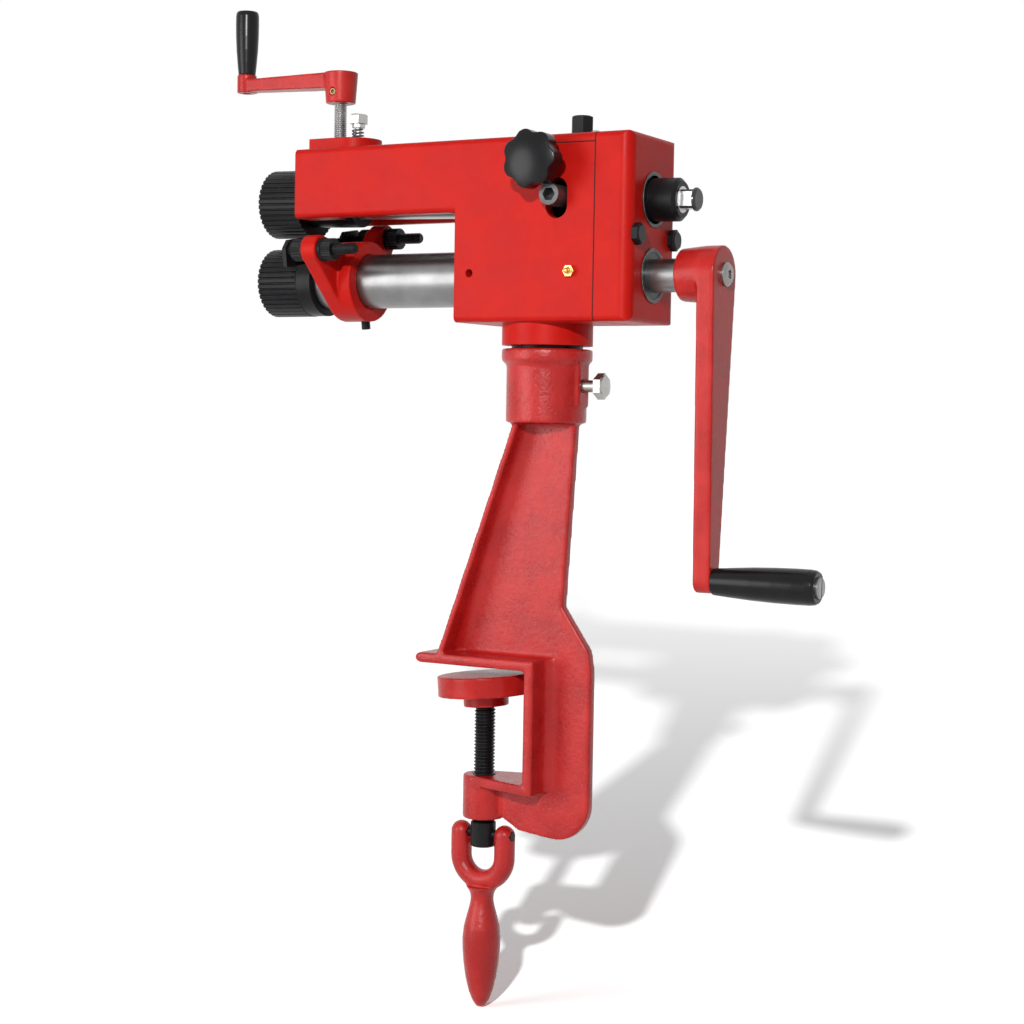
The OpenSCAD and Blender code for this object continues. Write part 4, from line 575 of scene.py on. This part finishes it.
for node, name, square, rounds, material in (
        ("stand_casting", "stand_cast_body", 1.5 * MM, 7, cast_red),
        ("clamp_pad", "pad_cast_body", 0.9 * MM, 5, crank_red),
        ("fork_handle", "fork_cast_body", 1.0 * MM, 10, cast_red),
        ("drive_crank", "drive_crank_cast_body", 1.2 * MM, 6, crank_red),
        ("top_crank", "top_crank_cast_body", 0.8 * MM, 7, crank_red),
        ("fence_bracket", "bracket_cast_body", 0.9 * MM, 7, smooth_red)):
    piece = soften(node, name, square, rounds, material)
    print(name, len(piece.data.polygons), "faces")

# %% [markdown]
# The knob is moulded plastic, so its lobes have small round edges too. It goes
# through the same steps with smaller squares.

# %% Soft plastic knob
knob = soften("lock_knob", "knob_moulded_body", 0.6 * MM, 5, black_plastic)
print("knob", len(knob.data.polygons), "faces")

# %% [markdown]
# A screw is a round core with a ridge wound on it. The core is an outline spun
# round the axis. The ridge is a small triangle that is spun and lifted at the
# same time, which bmesh does with one number more, the lift per step. Both are
# made upright and then turned into place.

# %% Helpers for screws


def lathe(bm, outline, steps=48):
    """Spins an outline of radius and height round the upright axis."""
    points = [bm.verts.new((radius, 0, height)) for radius, height in outline]
    lines = [bm.edges.new(pair) for pair in zip(points, points[1:])]
    bmesh.ops.spin(bm, geom=points + lines, cent=(0, 0, 0), axis=(0, 0, 1), angle=2 * math.pi,
                   steps=steps, use_merge=True, use_duplicate=False)
    bmesh.ops.remove_doubles(bm, verts=bm.verts, dist=0.000001)


def wind(bm, shape, lift, turns, steps):
    """Winds a closed shape of radius and height points up round the axis."""
    points = [bm.verts.new((radius, 0, height)) for radius, height in shape]
    lines = [bm.edges.new((a, b)) for a, b in zip(points, points[1:] + points[:1])]
    count = round(turns * steps)
    last = bmesh.ops.spin(bm, geom=points + lines, cent=(0, 0, 0), axis=(0, 0, 1),
                          dvec=(0, 0, lift / steps), angle=2 * math.pi * count / steps,
                          steps=count, use_merge=False, use_duplicate=False)["geom_last"]
    bmesh.ops.contextual_create(bm, geom=lines)
    bmesh.ops.contextual_create(bm, geom=[e for e in last if isinstance(e, bmesh.types.BMEdge)])


FLANK, SINK = 0.44, 0.1


def thread(bm, root, crest, pitch, start, end):
    """Winds a ridge on a core, sunk into it a little so that no gap shows."""
    half = pitch * FLANK
    inside = root - pitch * SINK
    wind(bm, [(inside, start), (crest, start + half), (inside, start + 2 * half)], pitch,
         (end - start - pitch) / pitch, 24)


def finish_screw(bm, name, node, material, turn):
    """Sets a screw at its place and lets it stand for its solid."""
    bmesh.ops.recalc_face_normals(bm, faces=bm.faces)
    bmesh.ops.transform(bm, matrix=turn, verts=bm.verts)
    piece = hand_over(new_object(name, bm), node, material)
    piece.data.set_sharp_from_angle(angle=math.radians(35))
    print(name, len(piece.data.polygons), "faces")
    return piece


# %% [markdown]
# The clamp screw is blackened steel with a coarse thread and a round head that
# the fork holds. The heights come from the solid's own box.

# %% Clamp screw
low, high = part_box("clamp_screw")
HEAD_R, CLAMP_CREST, CLAMP_ROOT = 11.2 * MM, 9.5 * MM, 8.1 * MM
head_top = low.z + 22.5 * MM
bm = bmesh.new()
lathe(bm, [(0, low.z), (HEAD_R - 1.2 * MM, low.z), (HEAD_R, low.z + 1.2 * MM),
           (HEAD_R, head_top - 1.2 * MM), (HEAD_R - 1.2 * MM, head_top), (CLAMP_ROOT, head_top + 1 * MM),
           (CLAMP_ROOT, high.z), (0, high.z)])
thread(bm, CLAMP_ROOT, CLAMP_CREST, 3 * MM, head_top + 1.5 * MM, high.z)
finish_screw(bm, "clamp_screw_threaded", "clamp_screw", black_steel, Matrix.Identity(4))

# %% [markdown]
# The press screw under the top crank has a finer thread. Its nose is plain,
# because it turns in the button.

# %% Press screw
low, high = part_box("press_screw")
middle_x = (low.x + high.x) / 2
PRESS_CREST, PRESS_ROOT, NOSE_R = 6 * MM, 5.1 * MM, 4.1 * MM
bm = bmesh.new()
lathe(bm, [(0, low.z), (NOSE_R, low.z), (NOSE_R, low.z + 2.5 * MM), (PRESS_ROOT, low.z + 2.6 * MM),
           (PRESS_ROOT, high.z), (0, high.z)])
thread(bm, PRESS_ROOT, PRESS_CREST, 1.75 * MM, low.z + 3 * MM, high.z)
finish_screw(bm, "press_screw_threaded", "press_screw", threaded_steel,
             Matrix.Translation((middle_x, 0, 0)))

# %% [markdown]
# The two fence studs are one solid. They lie along the shafts, so both are made
# upright and tipped over, and then set at their places beside the tube.

# %% Fence studs
low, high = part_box("fence_studs")
STUD_CREST, STUD_ROOT = 4.9 * MM, 4.2 * MM
AXIS_Z, STUD_OUT, STUD_UP, BRACKET_TURN = 336.5 * MM, 54 * MM, 34 * MM, math.radians(9.5)
tip_over = Matrix.Rotation(math.radians(90), 4, "Y")
length = high.x - low.x
studs = bmesh.new()
for side in (-1, 1):
    one = bmesh.new()
    lathe(one, [(0, 0), (STUD_CREST, 0), (STUD_CREST, 4 * MM), (STUD_ROOT, 4.5 * MM),
                (STUD_ROOT, length - 0.8 * MM), (STUD_ROOT - 0.8 * MM, length), (0, length)])
    thread(one, STUD_ROOT, STUD_CREST, 1.5 * MM, 4.5 * MM, length - 0.5 * MM)
    y = side * STUD_OUT * math.cos(BRACKET_TURN) - STUD_UP * math.sin(BRACKET_TURN)
    z = AXIS_Z + side * STUD_OUT * math.sin(BRACKET_TURN) + STUD_UP * math.cos(BRACKET_TURN)
    bmesh.ops.transform(one, matrix=Matrix.Translation((low.x, y, z)) @ tip_over, verts=one.verts)
    loose = bpy.data.meshes.new("one stud")
    one.to_mesh(loose)
    one.free()
    studs.from_mesh(loose)
    bpy.data.meshes.remove(loose)
finish_screw(studs, "fence_studs_threaded", "fence_studs", black_steel, Matrix.Identity(4))

# %% [markdown]
# The lift spring is a wire wound up like the thread of a screw, with a round shape in place of the
# triangle. When the press screw goes down, the spring gets shorter.

# %% Lift spring
low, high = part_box("lift_spring")
WIRE_R, COIL_R, TURNS = 0.7 * MM, 5.0 * MM, 6
spring_x = (low.x + high.x) / 2
lift = (high.z - low.z - 2 * WIRE_R) / TURNS
around = [math.radians(30 * i) for i in range(12)]
bm = bmesh.new()
wind(bm, [(COIL_R + WIRE_R * math.cos(a), low.z + WIRE_R * (1 + math.sin(a))) for a in around],
     lift, TURNS, 28)
spring = finish_screw(bm, "lift_spring_wire", "lift_spring", dark_screw,
                      Matrix.Translation((spring_x, 0, 0)))
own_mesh(spring)

# %% [markdown]
# A small set screw sits in the side of the top crank's hub. It is a short plug
# with a round hole for the key, spun from an outline as the cores of the screws
# are, and tipped over to face the near side.

# %% Set screw in the top crank
hub_low, hub_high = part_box("top_crank")
PLUG_R, KEY_R = 3.4 * MM, 1.7 * MM
plug_z = hub_low.z + 9.5 * MM
bm = bmesh.new()
lathe(bm, [(0, 0), (PLUG_R, 0), (PLUG_R, 4.4 * MM), (PLUG_R - 0.5 * MM, 5 * MM), (KEY_R, 5 * MM),
           (KEY_R, 3 * MM), (0, 2.6 * MM)], steps=24)
bmesh.ops.recalc_face_normals(bm, faces=bm.faces)
toward_near = Matrix.Rotation(math.radians(90), 4, "X")
bmesh.ops.transform(bm, matrix=Matrix.Translation((middle_x, -8.4 * MM, plug_z)) @ toward_near,
                    verts=bm.verts)
plug = new_object("top_crank_set_screw", bm)
wear(plug, dull_brass)
plug.data.shade_smooth()
plug.data.set_sharp_from_angle(angle=math.radians(35))
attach(plug, "press_turn")
print("set screw at", round(plug_z, 4), "hub from", round(hub_low.z, 4))

# %% [markdown]
# The rear cover and the small lid are castings of their own, screwed to the head. Where two castings meet,
# a thin dark line of painted shade stands for the shade in the joint all the way round. A line on the
# material would have to be placed by hand, so the line is cut from the solid itself: a plane cuts the
# casting, the outer loop of the cut is drawn out to a narrow band, and the band is set a hair proud.

# %% Joint lines on the head
SEAM_PROUD, SEAM_WALL = 0.08 * MM, 0.3 * MM
# The band's dark colour is painted shade: it stands for the shade in the gap where two castings meet.
joint_painted_shade = metal("painted shade in a joint", (0.040, 0.004, 0.004), (0.025, 0.003, 0.003), rough=0.60,
                  marks=0.05, direction=UP, size=300, depth=0.00002, metallic=0.0, gloss=0.2)


def corners(verts):
    """Returns the lowest and highest corner of the box that holds the vertices."""
    low = Vector([min(v.co[i] for v in verts) for i in range(3)])
    high = Vector([max(v.co[i] for v in verts) for i in range(3)])
    return low, high


def loop_size(loop):
    """Returns the diagonal of the box that holds a loop."""
    low, high = corners(loop)
    return (high - low).length


def outer_loop(bm):
    """Deletes all but the largest loop of edges."""
    loops, left = [], set(bm.verts)
    while left:
        found, todo = set(), [left.pop()]
        while todo:
            vert = todo.pop()
            found.add(vert)
            todo += [edge.other_vert(vert) for edge in vert.link_edges
                     if edge.other_vert(vert) not in found]
        left -= found
        loops.append(found)
    keep = max(loops, key=loop_size)
    bmesh.ops.delete(bm, geom=[v for v in bm.verts if v not in keep], context="VERTS")


def joint_line(name, node, axis, start, width):
    """Makes a dark band of painted shade round a casting where a plane across an axis cuts it."""
    way = Vector([float(letter == axis) for letter in "XYZ"])
    bm = bmesh.new()
    bm.from_mesh(nodes[node].data)
    bmesh.ops.remove_doubles(bm, verts=bm.verts, dist=0.00001)
    solid = list(bm.verts) + list(bm.edges) + list(bm.faces)
    bmesh.ops.bisect_plane(bm, geom=solid, dist=0.0000001, plane_co=way * start, plane_no=way,
                           clear_inner=True, clear_outer=True)
    outer_loop(bm)
    made = bmesh.ops.extrude_edge_only(bm, edges=list(bm.edges))["geom"]
    drawn_out = [item for item in made if isinstance(item, bmesh.types.BMVert)]
    bmesh.ops.translate(bm, vec=way * width, verts=drawn_out)
    bmesh.ops.recalc_face_normals(bm, faces=bm.faces)
    low, high = corners(bm.verts)
    centre, half = (low + high) / 2, (high - low) / 2
    scale = [1 if letter == axis else 1 + SEAM_PROUD / half[i] for i, letter in enumerate("XYZ")]
    bmesh.ops.scale(bm, vec=scale, space=Matrix.Translation(-centre), verts=bm.verts)
    piece = new_object(name, bm)
    wall = piece.modifiers.new("wall", "SOLIDIFY")
    wall.thickness = SEAM_WALL
    wall.offset = -1
    wear(piece, joint_painted_shade)
    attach(piece, "head")
    print(name, len(piece.data.polygons), "faces, box", [round(v, 4) for v in (*low, *high)])
    return piece


cover_low, cover_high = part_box("rear_cover")
lid_low, lid_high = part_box("chamber_lid")
joint_line("cover_joint_line", "rear_cover", "X", cover_low.x + 0.1 * MM, 1.0 * MM)
joint_line("lid_joint_line", "chamber_lid", "Z", lid_low.z + 0.1 * MM, 0.9 * MM)

# %% [markdown]
# The machine stands alone over a white floor. The key lamp is small and stands
# above and a little to the left of the camera, so that the near faces are bright,
# the rear faces stay dark and the shadow falls back and to the right. A large soft
# lamp on the left lifts the near faces with hardly a shadow of its own, and its
# broad reflection gives the flat painted faces their pale sheen.
#
# The floor has to look white without more light on the machine. A lamp makes the
# floor dimmer the further away it is, and gives nothing behind its back, so the
# floor's colour is worked out from the place and facing of both lamps and grows by
# as much: the open floor comes out just above white on all sides, and the shadow
# stays. Rays that look at the background see that colour, the glossy ones too, and
# all the others see plain paper.

# %% Floor, lamps and white room
floor_z = solid_box[0].z
bm = bmesh.new()
bmesh.ops.create_grid(bm, x_segments=1, y_segments=1, size=30)
bmesh.ops.translate(bm, verts=bm.verts, vec=(0, 0, floor_z))
floor_mesh = bpy.data.meshes.new("floor")
bm.to_mesh(floor_mesh)
bm.free()
floor = bpy.data.objects.new("floor", floor_mesh)
bpy.context.scene.collection.objects.link(floor)


LAMPS_AIM = Vector((0.02, 0, 0.20))
KEY_AT, KEY_SIZE, KEY_POWER = Vector((0.86, -2.31, 1.046)), 0.09, 42
LEFT_AT, LEFT_SIZE, LEFT_POWER = Vector((-1.35, -2.0, 0.42)), 1.5, 24
AMBIENT = 0.08
LAMP_SPREAD = math.pi ** 2
FLOOR_WHITE, PAPER = 1.10, 0.8


def lamp_level(tree, place, at, size, power):
    """Gives how bright a lamp makes the floor on the side that it faces."""
    link = tree.links.new
    way = add(tree, "ShaderNodeVectorMath", operation="SUBTRACT")
    way.inputs[1].default_value = at
    ahead = add(tree, "ShaderNodeVectorMath", operation="DOT_PRODUCT")
    ahead.inputs[1].default_value = (LAMPS_AIM - at).normalized()
    front = add(tree, "ShaderNodeMath", operation="MAXIMUM")
    front.inputs[1].default_value = 0
    squared = add(tree, "ShaderNodeVectorMath", operation="DOT_PRODUCT")
    widened = add(tree, "ShaderNodeMath", operation="ADD")
    widened.inputs[1].default_value = (size / 2) ** 2
    spread = add(tree, "ShaderNodeMath", operation="POWER")
    spread.inputs[1].default_value = 2
    share = add(tree, "ShaderNodeMath", operation="DIVIDE")
    level = add(tree, "ShaderNodeMath", operation="MULTIPLY")
    level.inputs[1].default_value = power * (at.z - floor_z) / LAMP_SPREAD
    link(place.outputs["Object"], way.inputs[0])
    link(way.outputs["Vector"], ahead.inputs[0])
    link(way.outputs["Vector"], squared.inputs[0])
    link(way.outputs["Vector"], squared.inputs[1])
    link(ahead.outputs["Value"], front.inputs[0])
    link(squared.outputs["Value"], widened.inputs[0])
    link(widened.outputs[0], spread.inputs[0])
    link(front.outputs[0], share.inputs[0])
    link(spread.outputs[0], share.inputs[1])
    link(share.outputs[0], level.inputs[0])
    return level.outputs[0]


def looking_rays(tree):
    """Gives 1 for the rays that show the background: camera, glossy and transmission."""
    path = add(tree, "ShaderNodeLightPath")
    clear = add(tree, "ShaderNodeMath", operation="MAXIMUM")
    shown = add(tree, "ShaderNodeMath", operation="MAXIMUM")
    tree.links.new(path.outputs["Is Camera Ray"], clear.inputs[0])
    tree.links.new(path.outputs["Is Transmission Ray"], clear.inputs[1])
    tree.links.new(clear.outputs[0], shown.inputs[0])
    tree.links.new(path.outputs["Is Glossy Ray"], shown.inputs[1])
    return shown.outputs[0]


def floor_material():
    """Makes the floor white for the rays that look at it, and paper for the rest."""
    material = bpy.data.materials.new("white floor")
    material.use_nodes = True
    tree = material.node_tree
    link = tree.links.new
    tree.nodes.remove(tree.nodes["Principled BSDF"])
    paper = add(tree, "ShaderNodeBsdfDiffuse")
    place = add(tree, "ShaderNodeTexCoord")
    lamps = add(tree, "ShaderNodeMath", operation="ADD")
    light = add(tree, "ShaderNodeMath", operation="ADD")
    light.inputs[1].default_value = AMBIENT
    white = add(tree, "ShaderNodeMath", operation="DIVIDE")
    white.inputs[0].default_value = FLOOR_WHITE
    colour = add(tree, "ShaderNodeMapRange")
    colour.inputs["To Min"].default_value = PAPER
    link(lamp_level(tree, place, KEY_AT, KEY_SIZE, KEY_POWER), lamps.inputs[0])
    link(lamp_level(tree, place, LEFT_AT, LEFT_SIZE, LEFT_POWER), lamps.inputs[1])
    link(lamps.outputs[0], light.inputs[0])
    link(light.outputs[0], white.inputs[1])
    link(white.outputs[0], colour.inputs["To Max"])
    link(looking_rays(tree), colour.inputs["Value"])
    link(colour.outputs["Result"], paper.inputs["Color"])
    link(paper.outputs[0], tree.nodes["Material Output"].inputs["Surface"])
    return material


wear(floor, floor_material())


def area_lamp(name, at, aim, size, power):
    """Hangs a round lamp and turns it towards a point."""
    lamp = bpy.data.lights.new(name, "AREA")
    lamp.shape = "DISK"
    lamp.size = size
    lamp.energy = power
    body = bpy.data.objects.new(name, lamp)
    bpy.context.scene.collection.objects.link(body)
    way = Vector(aim) - Vector(at)
    body.rotation_euler = way.to_track_quat("-Z", "Y").to_euler()
    body.location = at
    return body


area_lamp("key lamp", KEY_AT, LAMPS_AIM, KEY_SIZE, KEY_POWER)
area_lamp("left soft lamp", LEFT_AT, LAMPS_AIM, LEFT_SIZE, LEFT_POWER)

room = bpy.data.worlds.new("white room")
bpy.context.scene.world = room
room.use_nodes = True
tree = room.node_tree
backdrop = tree.nodes["Background"]
backdrop.inputs["Color"].default_value = (1, 1, 1, 1)
strength = add(tree, "ShaderNodeMapRange")
strength.inputs["To Min"].default_value = AMBIENT
strength.inputs["To Max"].default_value = 1.0
tree.links.new(looking_rays(tree), strength.inputs["Value"])
tree.links.new(strength.outputs["Result"], backdrop.inputs["Strength"])
bpy.context.scene.view_settings.view_transform = "Standard"
print("floor at", round(floor_z, 4))
